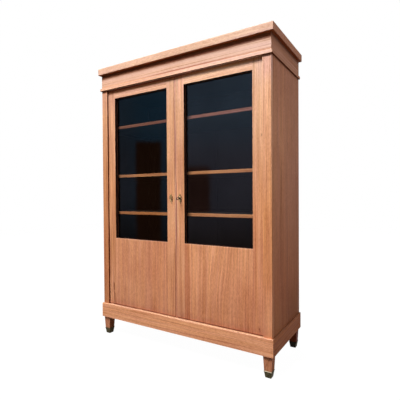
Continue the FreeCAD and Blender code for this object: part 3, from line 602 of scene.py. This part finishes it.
SIDE_FRIEZE = dict(
    grain="Y", band=0.02, line=0.28, run=0.003, wander=0.0006, levels=SIDE, change=side_frieze_marks)
SIDE_PLINTH = dict(grain="Y", band=0.02, bands=0.22, darker=(0.02, 0.25), levels=SIDE, change=side_plinth_marks)
SIDE_PANEL = dict(
    grain="Z", band=0.030, bands=0.12, drift=0.12, fine=0.13, darker=(0.02, 0.22), dark=inner_side_mask,
    change=side_marks, levels=SIDE)
LEG = dict(grain="Z", band=0.012, levels=None)
STILE = dict(grain="Z", dark=reveal_mask)
TOP_RAIL = dict(grain="X", band=0.012, dark=reveal_mask, change=below_cornice)
INNER = dict(tint=(0.8, 0.75, 0.7), dark=reveal_mask)
SHELF = dict(grain="X", band=0.006, bands=0.24, dark=shelf_mask)
PIECES = {
    "top_slab": dict(
        grain="X", tint=(0.97, 1.0, 1.045), seed=3, band=0.03, bands=0.06, drift=0.10, fine=0.13, change=slab_marks,
        levels=None),
    "frieze_front": dict(
        grain="X", tint=(1.0, 1.08, 1.20), seed=11, band=0.03, bands=0.04, fine=0.06, darker=(0.013, 0.52), line=0.22,
        run=0.003, wander=0.0006, change=frieze_marks),
    "frieze_left": dict(SIDE_FRIEZE, tint=(1.11, 1.11, 1.11), seed=12, darker=(0.014, 0.50)),
    "frieze_right": dict(SIDE_FRIEZE, tint=(1.08, 1.27, 1.37), seed=13, darker=(0.014, 0.36)),
    "frieze_back": dict(grain="X", tint=(0.8, 0.75, 0.75), seed=14),
    "cornice_mouldings": dict(
        grain="XY", tint=(0.96, 1.06, 1.22), seed=15, band=0.01, bands=0.05, change=moulding_marks, levels=None),
    "top_front_rail": dict(grain="X", tint=(1, 1, 1), seed=16),
    "bottom_front_rail": dict(grain="X", tint=(0.9, 0.85, 0.85), seed=17),
    "pilaster_left": dict(
        grain="Z", tint=(0.86, 0.77, 0.66), seed=21, band=0.010, dark=door_edge_mask, change=left_post_marks),
    "pilaster_right": dict(
        grain="Z", tint=(1.05, 1.03, 1.0), seed=22, band=0.012, bands=0.20, light=(0.02, 0.08), dark=door_edge_mask,
        change=right_post_marks),
    "side_panel_left": dict(SIDE_PANEL, tint=(1, 1, 1), seed=23),
    "side_panel_right": dict(SIDE_PANEL, tint=(0.96, 0.945, 0.94), seed=24),
    "plinth_front": dict(
        grain="X", tint=(1.35, 1.43, 1.48), seed=31, band=0.014, bands=0.15, fine=0.13, darker=(0.012, 0.34),
        change=plinth_marks),
    "plinth_left": dict(SIDE_PLINTH, tint=(1.05, 0.98, 0.95), seed=32),
    "plinth_right": dict(SIDE_PLINTH, tint=(0.99, 0.91, 0.83), seed=33),
    "plinth_back": dict(grain="X", tint=(0.9, 0.9, 0.9), seed=34),
    "leg_front_left": dict(LEG, tint=(0.96, 0.92, 0.95), seed=41, change=leg_marks),
    "leg_front_right": dict(LEG, tint=(0.98, 0.95, 0.98), seed=42, change=right_leg_marks),
    # The back legs are darkened with painted shade under the cabinet, and some dirt.
    "leg_back_left": dict(LEG, tint=(0.29, 0.12, 0.045), seed=43),
    "leg_back_right": dict(LEG, tint=(0.29, 0.12, 0.045), seed=44),
    "left_door_hinge_stile": dict(
        STILE, tint=(0.87, 0.83, 0.775), seed=51, band=0.010, bands=0.30, light=(0.016, 0.25), darker=(0.018, 0.34),
        change=crack),
    "left_door_meeting_stile": dict(
        STILE, tint=(1.08, 1.10, 1.10), seed=52, band=0.011, light=(0.025, 0.10), change=left_meeting_marks),
    "left_door_top_rail": dict(TOP_RAIL, tint=(0.98, 0.95, 0.97), seed=53),
    "left_door_lower_panel": dict(
        STILE, tint=(1.0, 0.98, 1.01), seed=54, band=0.024, bands=0.10, drift=0.12, fine=0.12, light=(0.014, 0.10),
        change=left_panel_marks),
    "left_door_lower_rails": dict(INNER, grain="X", seed=55),
    "left_door_glazing_beads": dict(INNER, grain="Z", seed=56),
    "right_door_hinge_stile": dict(
        STILE, tint=(1.09, 1.05, 1.04), seed=61, band=0.011, bands=0.15, light=(0.025, 0.10), darker=(0.02, 0.20),
        change=knots),
    "right_door_meeting_stile": dict(
        STILE, tint=(1.03, 1.03, 1.05), seed=62, band=0.011, bands=0.20, change=right_meeting_marks),
    "right_door_top_rail": dict(TOP_RAIL, tint=(1.16, 1.23, 1.28), seed=63),
    "right_door_lower_panel": dict(
        STILE, tint=(1.06, 1.05, 1.05), seed=64, band=0.015, bands=0.12, fine=0.12, light=(0.013, 0.32),
        darker=(0.03, 0.12), line=0.12, lean=right_panel_lean, change=right_panel_marks),
    "right_door_lower_rails": dict(INNER, grain="X", seed=65),
    "right_door_glazing_beads": dict(INNER, grain="Z", seed=66),
    "meeting_strip": dict(
        grain="Z", tint=(0.86, 0.84, 0.95), seed=71, band=0.008, bands=0.12, change=strip_marks),
    "shelf_1": dict(grain="X", tint=(1.1, 0.8, 0.7), seed=81, band=0.01, change=shelf_marks, dark=shelf_mask),
    "shelf_2": dict(SHELF, tint=(1.12, 0.95, 0.85), seed=82, change=shelf_marks),
    "shelf_3": dict(SHELF, tint=(0.96, 0.77, 0.62), seed=83, change=shelf_end_marks),
    "shelf_4": dict(SHELF, tint=(0.49, 0.35, 0.44), seed=84, change=top_shelf_marks),
}
for name, look in PIECES.items():
    cover([name], wood(name, **look))


def stained(name, grain, seed):
    """The dark inside of the carcase, brown on the outer face of the back."""
    s = new_shade(name)
    x, y, z = s.position()
    a, b, along = {"X": (z, y, x), "Y": (z, x, y), "Z": (x, y, z)}[grain]
    where = s.vector(s.math("ADD", a, seed * 0.61), b, s.math("MULTIPLY", along, 0.03))
    lines = s.noise(where, 180.0, 3.0, 0.6)
    patch = s.noise(s.vector(x, y, z), 6.0, 3.0, 0.6)
    outer = s.ease(y, 0.2655, 0.2685)
    base = s.blend(outer, (*UNSEEN, 1), (*linear(88, 58, 42), 1))
    tone = s.total(1.0, s.math("MULTIPLY", lines, 0.22), s.math("MULTIPLY", patch, 0.18))
    rough = s.math("MULTIPLY_ADD", patch, 0.05, 0.72)
    return s.finish(s.scaled(base, tone), rough, lines, bump=0.3, depth=0.0005, gloss=0.1)


cover(("back_panels", "back_uprights", "shelf_racks"), stained("stain_upright", "Z", 1))
cover(("back_rails", "bottom_board", "ceiling_board"), stained("stain_level", "X", 2))
cover(("shelf_cleats",), stained("stain_deep", "Y", 3))

DIRT = (0.01, 0.009, 0.006, 1)


def metal(name, colour, worn, dirt, rough, change=None, whole=1.0, gloss=0.5):
    """A cast or rubbed metal with darker dirt in patches and fine scratches.

    dirt is how much of the dirt shows, and whole is how metallic the surface is under it."""
    s = new_shade(name)
    x, y, z = s.position()
    where = s.vector(x, y, z)
    patch = s.noise(where, 70.0, 4.0, 0.65)
    grit = s.noise(where, 900.0, 2.0, 0.6)
    scratch = s.noise(s.vector(s.math("MULTIPLY", x, 0.1), y, z), 2500.0, 1.0)
    tint = s.blend(s.ease(patch, -0.7, 0.7), (*colour, 1), (*worn, 1))
    dirty = s.ease(s.math("MULTIPLY_ADD", grit, 0.5, patch), 0.1, -1.0)
    tint = s.blend(s.math("MULTIPLY", dirty, dirt), tint, DIRT)
    if change:
        tint = change(s, tint)
    level = s.math("MULTIPLY_ADD", patch, -0.10, s.math("MULTIPLY_ADD", scratch, 0.03, rough))
    height = s.total(s.math("MULTIPLY", grit, 0.5), patch)
    return s.finish(tint, level, height, bump=0.35, depth=0.0004, gloss=gloss, metal=whole)


def sabot_marks(s, tint):
    """The front right sabot's upper rim has a painted highlight, the sides have painted shade, and the back ones are
    darkest, with painted shade under the cabinet and some dirt.
    """
    x, y, z = s.position()
    front_right = s.both(s.ease(y, -0.2535, -0.2548), s.ease(x, 0.0, 0.1))
    rim = s.both(s.within(z, 0.0362, 0.0410, 0.0004), front_right)
    tint = s.blend(rim, tint, (*linear(245, 228, 200), 1))
    sideways = s.sideways()
    tint = stain(s, tint, s.ease(sideways, 0.5, 0.8), (0.70, 0.62, 0.50))
    return stain(s, tint, s.both(s.ease(y, 0.0, 0.1), s.ease(sideways, 0.8, 0.5)), (0.10, 0.08, 0.05))


# Painted highlights on the escutcheons: x, z, half width and half height.
BRIGHT_SPOTS = (
    (-0.042, 1.014, 0.005, 0.008),
    (0.033, 1.037, 0.005, 0.005),
    (0.033, 1.011, 0.005, 0.008),
)


def relief_marks(s, tint):
    """Dirt stays low in the relief, and painted shade darkens its right side; it has bright patches, and painted
    highlights on a few spots and on its tip.
    """
    x, y, z = s.position()
    where = s.vector(x, y, z)
    bright = s.ease(s.noise(where, 130.0, 1.0), 0.05, 0.35)
    tint = s.blend(bright, tint, (*linear(240, 204, 136), 1))
    front = s.math("MULTIPLY_ADD", s.noise(where, 300.0, 2.0), 0.0002, y)
    raised = s.ease(front, DOOR_FRONT - 0.0015, DOOR_FRONT - 0.0021)
    tint = s.blend(raised, (*linear(72, 48, 22), 1), tint)
    right_half = s.math("MAXIMUM", s.within(x, -0.031, -0.018, 0.002), s.within(x, 0.042, 0.055, 0.002))
    tint = stain(s, tint, right_half, (0.62, 0.45, 0.32))
    for place in BRIGHT_SPOTS:
        tint = s.blend(spot(s, *place), tint, (*linear(240, 208, 150), 1))
    return s.blend(s.ease(z, 1.048, 1.052), tint, (*linear(222, 172, 118), 1))


brass = metal("brass_dull", linear(176, 150, 92), linear(205, 178, 112), dirt=0.55, rough=0.42)
sabot_brass = metal(
    "sabot_brass", linear(76, 70, 50), linear(112, 103, 76), dirt=0.6, rough=0.6, change=sabot_marks, whole=0.06,
    gloss=0.08)
cast_brass = metal(
    "brass_cast", linear(112, 82, 42), linear(176, 136, 82), dirt=0.6, rough=0.45, change=relief_marks, whole=0.3,
    gloss=0.3)
steel = metal("steel_dark", linear(38, 35, 32), linear(62, 57, 52), dirt=0.6, rough=0.5)
black_steel = metal(
    "steel_black", linear(12, 9, 10), linear(24, 19, 19), dirt=0.6, rough=0.5, whole=0.0, gloss=0.25)
cover(("carcase_pivots", "left_door_pivot_sockets", "right_door_pivot_sockets", "edge_bolt_plates", "strike_plate"),
      brass)
cover(("brass_sabots",), sabot_brass)
cover(("back_screws", "bottom_edge_bolt", "top_edge_bolt", "lock_bolt", "lock_case"), steel)


def solid(name, points, faces, material, body, node, smooth):
    """A closed mesh, in millimetres, that stands for a node. smooth is how many of its first faces are smooth."""
    mesh = bpy.data.meshes.new(name)
    mesh.from_pydata([tuple(v / 1000 for v in p) for p in points], [], faces)
    mesh.materials.append(material)
    for face in mesh.polygons:
        face.use_smooth = face.index < smooth
    piece = bpy.data.objects.new(name, mesh)
    bpy.context.scene.collection.objects.link(piece)
    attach(piece, body)
    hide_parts(node)


# The escutcheons and the key, in millimetres.
LOCK_X, LOCK_Z, DOOR_FACE = 37.0, 1025.0, -247.0
BLIND_X = -36.0
# The keyhole: the radius of its round, half the width of its slot, and how far down that goes.
HOLE, SLOT, SLOT_DEPTH = 3.3, 1.6, 11.0
# The pattern slants by LEAN and is narrower by SLIM. OUTSIDE is the depth far away from all of its strokes.
LEAN, SLIM, OUTSIDE = 0.11, 1.07, -9.0
# The escutcheon's leaves, scrolls and pearls, as strokes on one side of its middle line: each is a row of points
# (across, up, half width) that it swells and narrows through.
STROKES = (
    ((0, 5, 7.2), (0, -9, 5.2)),
    ((0, 12, 2.6), (0, 23, 1.7)),
    ((0, 24, 3.9), (0, 29, 3.0), (0, 37.2, 0.8)),
    ((1.5, 15, 2.0), (5.5, 19.5, 1.9), (8.5, 25, 0.8)),
    ((6, 10, 1.6), (10, 13, 1.5), (13, 11, 1.6), (12, 8, 2.3)),
    ((7.5, 7, 1.2), (12, 4.5, 1.5), (13.6, 0, 1.4), (12, -4.5, 1.5), (8, -7, 1.9)),
    ((5, -12, 1.7), (9.5, -12.5, 1.5), (12.3, -10, 1.7), (10.5, -8.4, 2.1)),
    ((3, -14, 1.9), (6, -18, 1.8), (9, -23, 0.8)),
    ((0, -14, 2.6), (0, -20, 3.7), (0, -30, 1.3)),
    ((0, -33.4, 2.0), (0, -33.6, 2.0)),
    ((0, -35.5, 1.4), (0, -36.6, 0.8)),
)


def plate_depth(across, up):
    """How far a point is inside the escutcheon's outline, or below 0 outside it."""
    leaf = abs(across + LEAN * up) * SLIM
    across = abs(across)
    depth = OUTSIDE
    for stroke in STROKES:
        for (x0, z0, r0), (x1, z1, r1) in zip(stroke, stroke[1:]):
            dx, dz = x1 - x0, z1 - z0
            t = max(0.0, min(1.0, ((leaf - x0) * dx + (up - z0) * dz) / (dx * dx + dz * dz)))
            depth = max(depth, r0 + (r1 - r0) * t - math.hypot(leaf - x0 - dx * t, up - z0 - dz * t))
    hole = math.hypot(across, up) - HOLE
    if -SLOT_DEPTH < up < 0:
        hole = min(hole, across - SLOT)
    elif up <= -SLOT_DEPTH:
        hole = min(hole, math.hypot(max(0.0, across - SLOT), up + SLOT_DEPTH))
    return min(depth, hole)


# The escutcheon is cut from a grid of so many cells to either side of its middle, and its rim is then moved onto the
# outline in a few tries. Its rim stands off the door, and from there it rises, most of it within the dome's reach.
CELL, HALF_WIDE, HALF_TALL = 0.6, 26, 65
TRIES, PROBE, PULL, LEAST_SLOPE = 4, 0.05, 0.7, 0.05
RIM_RISE, DOME_RISE, DOME_REACH = 0.8, 1.7, 1.5


def onto_outline(start):
    """A point of the rim, moved onto the outline, unless that takes it further than a cell."""
    across, up = start
    for _ in range(TRIES):
        here = plate_depth(across, up)
        slope_x = (plate_depth(across + PROBE, up) - plate_depth(across - PROBE, up)) / (2 * PROBE)
        slope_z = (plate_depth(across, up + PROBE) - plate_depth(across, up - PROBE)) / (2 * PROBE)
        steep = slope_x * slope_x + slope_z * slope_z
        if steep > LEAST_SLOPE:
            across -= PULL * here * slope_x / steep
            up -= PULL * here * slope_z / steep
    near = math.hypot(across - start[0], up - start[1]) < CELL
    return [across, up] if near else start


def escutcheon(name, node, body, middle):
    """A pierced cast plate of leaves and scrolls round a keyhole, domed from its edges inwards."""
    quads = [
        ((i, k), (i + 1, k), (i + 1, k + 1), (i, k + 1))
        for i in range(-HALF_WIDE, HALF_WIDE) for k in range(-HALF_TALL, HALF_TALL)
        if plate_depth((i + 0.5) * CELL, (k + 0.5) * CELL) > 0
    ]
    place = {(i, k): [i * CELL, k * CELL] for quad in quads for i, k in quad}
    sides = dict.fromkeys((start, end) for quad in quads for start, end in zip(quad, quad[1:] + quad[:1]))
    rim = [(start, end) for start, end in sides if (end, start) not in sides]
    for key in {point for pair in rim for point in pair}:
        place[key] = onto_outline(place[key])
    order = {key: i for i, key in enumerate(place)}
    count = len(order)
    points = []
    for across, up in place.values():
        rise = RIM_RISE + DOME_RISE * (1 - math.exp(-max(0.0, plate_depth(across, up)) / DOME_REACH))
        points.append((middle + across, DOOR_FACE - rise, LOCK_Z + up))
    points += [(middle + across, DOOR_FACE, LOCK_Z + up) for across, up in place.values()]
    faces = [tuple(order[p] for p in quad) for quad in quads]
    faces += [tuple(count + order[p] for p in reversed(quad)) for quad in quads]
    faces += [(order[end], order[start], count + order[start], count + order[end]) for start, end in rim]
    solid(name, points, faces, cast_brass, body, node, len(quads))


def turned(points, faces, profile, sides=24):
    """Adds a shape turned about the key's axis, through (along, radius) points, closed at both ends."""
    start = len(points)
    for along, radius in profile:
        for i in range(sides):
            turn = math.tau * i / sides
            points.append((LOCK_X + radius * math.cos(turn), along, LOCK_Z + radius * math.sin(turn)))
    for row in range(len(profile) - 1):
        for i in range(sides):
            a, b = start + row * sides + i, start + row * sides + (i + 1) % sides
            faces.append((a, b, b + sides, a + sides))
    faces.append(tuple(start + i for i in reversed(range(sides))))
    faces.append(tuple(start + (len(profile) - 1) * sides + i for i in range(sides)))


# The key's bow is an oval of wire, a little thinner sideways than across, and thicker where it joins the shank.
BOW_MIDDLE, BOW_LONG, BOW_TALL = -276.2, 12.2, 8.4
WIRE, WIRE_GAIN, WIRE_SIDE, WIRE_ALONG = 2.5, 0.6, 2.2, 0.95
BOW_STEPS, WIRE_STEPS = 40, 12
KEY_TILT = 30
# The collar and the hollow shank, as (along, radius), from the bow to the tip and back into the bore.
KEY_PROFILE = (
    (-263.8, 1.6), (-262.8, 3.6), (-261.0, 4.4), (-259.6, 3.8), (-258.9, 3.1), (-258.2, 4.0), (-257.4, 4.9),
    (-256.2, 5.0), (-255.2, 4.8), (-254.5, 3.5), (-253.8, 3.1), (-252.9, 3.6), (-252.0, 3.6), (-251.4, 3.0),
    (-222.0, 3.0), (-221.2, 2.6), (-221.2, 1.6), (-229.0, 1.55), (-229.2, 0.3),
)
# The notched bit, as (up, along), and half its thickness.
BIT_OUTLINE = (
    (-2.0, -229.0), (-10.3, -229.0), (-10.3, -226.6), (-7.4, -226.6),
    (-7.4, -225.4), (-10.3, -225.4), (-10.3, -222.2), (-2.0, -222.2),
)
BIT_HALF = 1.2


def lock_key():
    """The key as it rests in its lock: an oval bow, a turned collar, a hollow shank and a notched bit."""
    tilt = Matrix.Rotation(math.radians(KEY_TILT), 3, "Y")

    def tilted(point):
        x, y, z = tilt @ Vector(point)
        return x + LOCK_X, y, z + LOCK_Z

    points, faces = [], []
    for i in range(BOW_STEPS):
        turn = math.tau * i / BOW_STEPS
        cosine, sine = math.cos(turn), math.sin(turn)
        out = Vector((cosine / BOW_LONG, sine / BOW_TALL)).normalized()
        wire = WIRE + WIRE_GAIN * max(0.0, cosine) ** 4
        for j in range(WIRE_STEPS):
            spin = math.tau * j / WIRE_STEPS
            reach = wire * math.cos(spin)
            y = BOW_MIDDLE + BOW_LONG * cosine + out[0] * reach * WIRE_ALONG
            points.append(tilted((WIRE_SIDE * math.sin(spin), y, BOW_TALL * sine + out[1] * reach)))
    for i in range(BOW_STEPS):
        here, ahead = i * WIRE_STEPS, (i + 1) % BOW_STEPS * WIRE_STEPS
        for j in range(WIRE_STEPS):
            k = (j + 1) % WIRE_STEPS
            faces.append((here + j, here + k, ahead + k, ahead + j))
    turned(points, faces, KEY_PROFILE)
    smooth = len(faces)
    start, n = len(points), len(BIT_OUTLINE)
    points += [tilted((side, y, z)) for side in (-BIT_HALF, BIT_HALF) for z, y in BIT_OUTLINE]
    faces.append(tuple(start + i for i in range(n)))
    faces.append(tuple(start + n + i for i in reversed(range(n))))
    faces += [(start + (i + 1) % n, start + i, start + n + i, start + n + (i + 1) % n) for i in range(n)]
    solid("lock_key", points, faces, black_steel, "key", "key", smooth)


escutcheon("escutcheon_cast_left", "escutcheon_left", "left_door", BLIND_X)
escutcheon("escutcheon_cast_right", "escutcheon_right", "right_door", LOCK_X)
lock_key()

# The panes: old glass, seen through, with a clear reflection and a very slight wave. BARE is how much they reflect
# when looked at squarely.
BARE = 0.04
s = new_shade("pane_glass")
x, y, z = s.position()
ripple = s.noise(s.vector(x, y, z), 9.0, 1.0)
film = s.ease(s.noise(s.vector(x, y, z), 3.0, 3.0, 0.6), -0.6, 1.2)
normal = s.add("Bump", {"Height": ripple, "Strength": 0.05, "Distance": 0.001}).outputs[0]
clear = s.add("BsdfTransparent", {"Color": s.blend(film, (0.93, 0.96, 0.95, 1), (0.90, 0.93, 0.93, 1))}).outputs[0]
shine = s.add("BsdfGlossy", {"Color": (1, 1, 1, 1), "Roughness": 0.0, "Normal": normal}).outputs[0]
facing = s.add("LayerWeight", {"Blend": 0.5}).outputs["Facing"]
mirror = s.math("MULTIPLY_ADD", s.math("POWER", facing, 5.0), 1 - BARE, BARE)
cover(("left_door_glass", "right_door_glass"), s.output(s.add("MixShader", {0: mirror, 1: clear, 2: shine}).outputs[0]))


def sheet(name, corners):
    """A four-cornered flat surface of the stage."""
    mesh = bpy.data.meshes.new(name)
    mesh.from_pydata(corners, [], [(0, 1, 2, 3)])
    plane = bpy.data.objects.new(name, mesh)
    bpy.context.scene.collection.objects.link(plane)
    return plane


def seen(s):
    """1 for what the camera sees, directly or in glass and metal, and 0 for the light that is given to others."""
    path = s.add("LightPath").outputs
    either = s.math("MAXIMUM", path["Is Camera Ray"], path["Is Glossy Ray"])
    return s.math("MAXIMUM", either, path["Is Transmission Ray"])


# The floor looks almost white, and gives the cabinet little light.
FLOOR = 9.0
floor = sheet("floor", [(-FLOOR, -FLOOR, 0), (FLOOR, -FLOOR, 0), (FLOOR, FLOOR, 0), (-FLOOR, FLOOR, 0)])
s = new_shade("floor_white")
glow = s.add("Emission", {"Color": (1, 1, 1, 1), "Strength": 0.985}).outputs[0]
thin = s.add("BsdfDiffuse", {"Color": (0.05, 0.05, 0.05, 1)}).outputs[0]
shown = s.add("AddShader", {0: glow, 1: thin}).outputs[0]
giving = s.add("BsdfDiffuse", {"Color": (0.13, 0.12, 0.115, 1)}).outputs[0]
floor.data.materials.append(s.output(s.add("MixShader", {0: seen(s), 1: giving, 2: shown}).outputs[0]))

# What the panes reflect: a dim room on an upright card, shown to reflections only.
CARD_MIDDLE, CARD_ALONG, CARD_HALF, CARD_HEIGHT = Vector((-1.79, -2.9, 0)), Vector((0.829, -0.559, 0)), 2.2, 3.4
ends = [CARD_MIDDLE - CARD_ALONG * CARD_HALF, CARD_MIDDLE + CARD_ALONG * CARD_HALF]
tops = [end + Vector((0, 0, CARD_HEIGHT)) for end in reversed(ends)]
card = sheet("room_card", [tuple(corner) for corner in ends + tops])
for ray in ("camera", "diffuse", "shadow", "transmission", "volume_scatter"):
    setattr(card, "visible_" + ray, False)
s = new_shade("room_dim")
x, y, z = s.position()
along = s.total(
    s.math("MULTIPLY", s.math("SUBTRACT", x, CARD_MIDDLE.x), CARD_ALONG.x),
    s.math("MULTIPLY", s.math("SUBTRACT", y, CARD_MIDDLE.y), CARD_ALONG.y))
tint = s.blend(s.ease(z, 0.0, 1.2), (0.05, 0.04, 0.035, 1), (0.115, 0.13, 0.17, 1))
tint = s.blend(s.ease(z, 1.5, 2.4), tint, (0.115, 0.19, 0.27, 1))
# Two soft, dark red-brown areas: where along the card, how soft there, between which heights, how soft, and colour.
for left, right, soft, low, high, blur, shade in (
    (-0.75, -0.35, 0.04, 0.2, 1.9, 0.05, (0.125, 0.034, 0.014, 1)),
    (0.05, 0.42, 0.05, 0.7, 1.5, 0.06, (0.09, 0.045, 0.035, 1)),
):
    tint = s.blend(s.both(s.within(along, left, right, soft), s.within(z, low, high, blur)), tint, shade)
cast = s.blend(s.ease(along, -0.95, -0.6), (0.84, 0.84, 0.90, 1), (0.62, 0.90, 1.05, 1))
tint = s.times(tint, s.blend(s.ease(along, -0.3, 0.1), cast, (1.70, 1.45, 1.50, 1)))
tint = s.scaled(tint, s.math("MULTIPLY_ADD", s.noise(s.vector(x, y, z), 1.3, 2.0), 0.25, 1.0))
card.data.materials.append(s.output(s.add("Emission", {"Color": tint, "Strength": 1.0}).outputs[0]))

scene = bpy.context.scene
scene.world = bpy.data.worlds.new("studio")
s = Shade(scene.world)
white = s.add("Background", {"Color": (1, 1, 1, 1), "Strength": 1.0}).outputs[0]
fill = s.add("Background", {"Color": (1.0, 0.95, 0.90, 1), "Strength": 0.18}).outputs[0]
sky = s.add("MixShader", {0: seen(s), 1: fill, 2: white}).outputs[0]
s.tree.links.new(sky, s.add("OutputWorld").inputs[0])

DAYLIGHT = (1.0, 0.985, 0.96)


def area_lamp(name, where, target, across, power):
    """A round lamp, so many metres across, that points at the target."""
    lamp = bpy.data.lights.new(name, "AREA")
    lamp.shape, lamp.size, lamp.energy, lamp.color = "DISK", across, power, DAYLIGHT
    holder = bpy.data.objects.new(name, lamp)
    holder.location = where
    holder.rotation_euler = (Vector(target) - Vector(where)).to_track_quat("-Z", "Y").to_euler()
    scene.collection.objects.link(holder)


area_lamp("key_lamp", where=(-0.628, -3.215, 5.9), target=(0, -0.26, 1.9), across=1.66, power=420.0)
area_lamp("rear_lamp", where=(-2.6, 4.6, 4.4), target=(0, 0.27, 1.1), across=2.4, power=220.0)
area_lamp("side_lamp", where=(4.2, -0.7, 4.4), target=(0.668, 0, 1.2), across=2.4, power=42.0)

# The camera, where the photograph was taken from: its place, its three angles in radians, and its lens.
EYE, YAW, PITCH, ROLL = Vector((1.351, -2.123, 1.0445)), 0.5543, -0.0136, -0.0065
LENS, SENSOR, CLIP_START = 31.293, 36.0, 0.05
ahead = Vector((-math.sin(YAW) * math.cos(PITCH), math.cos(YAW) * math.cos(PITCH), math.sin(PITCH)))
level = Vector((math.cos(YAW), math.sin(YAW), 0))
above = level.cross(ahead)
right = math.cos(ROLL) * level + math.sin(ROLL) * above
above = math.cos(ROLL) * above - math.sin(ROLL) * level
view = bpy.data.cameras.new("camera")
view.lens, view.sensor_width, view.clip_start = LENS, SENSOR, CLIP_START
camera = bpy.data.objects.new("camera", view)
camera.matrix_world = Matrix.Translation(EYE) @ Matrix((right, above, -ahead)).transposed().to_4x4()
scene.collection.objects.link(camera)
scene.camera = camera
scene.view_settings.view_transform = "Standard"
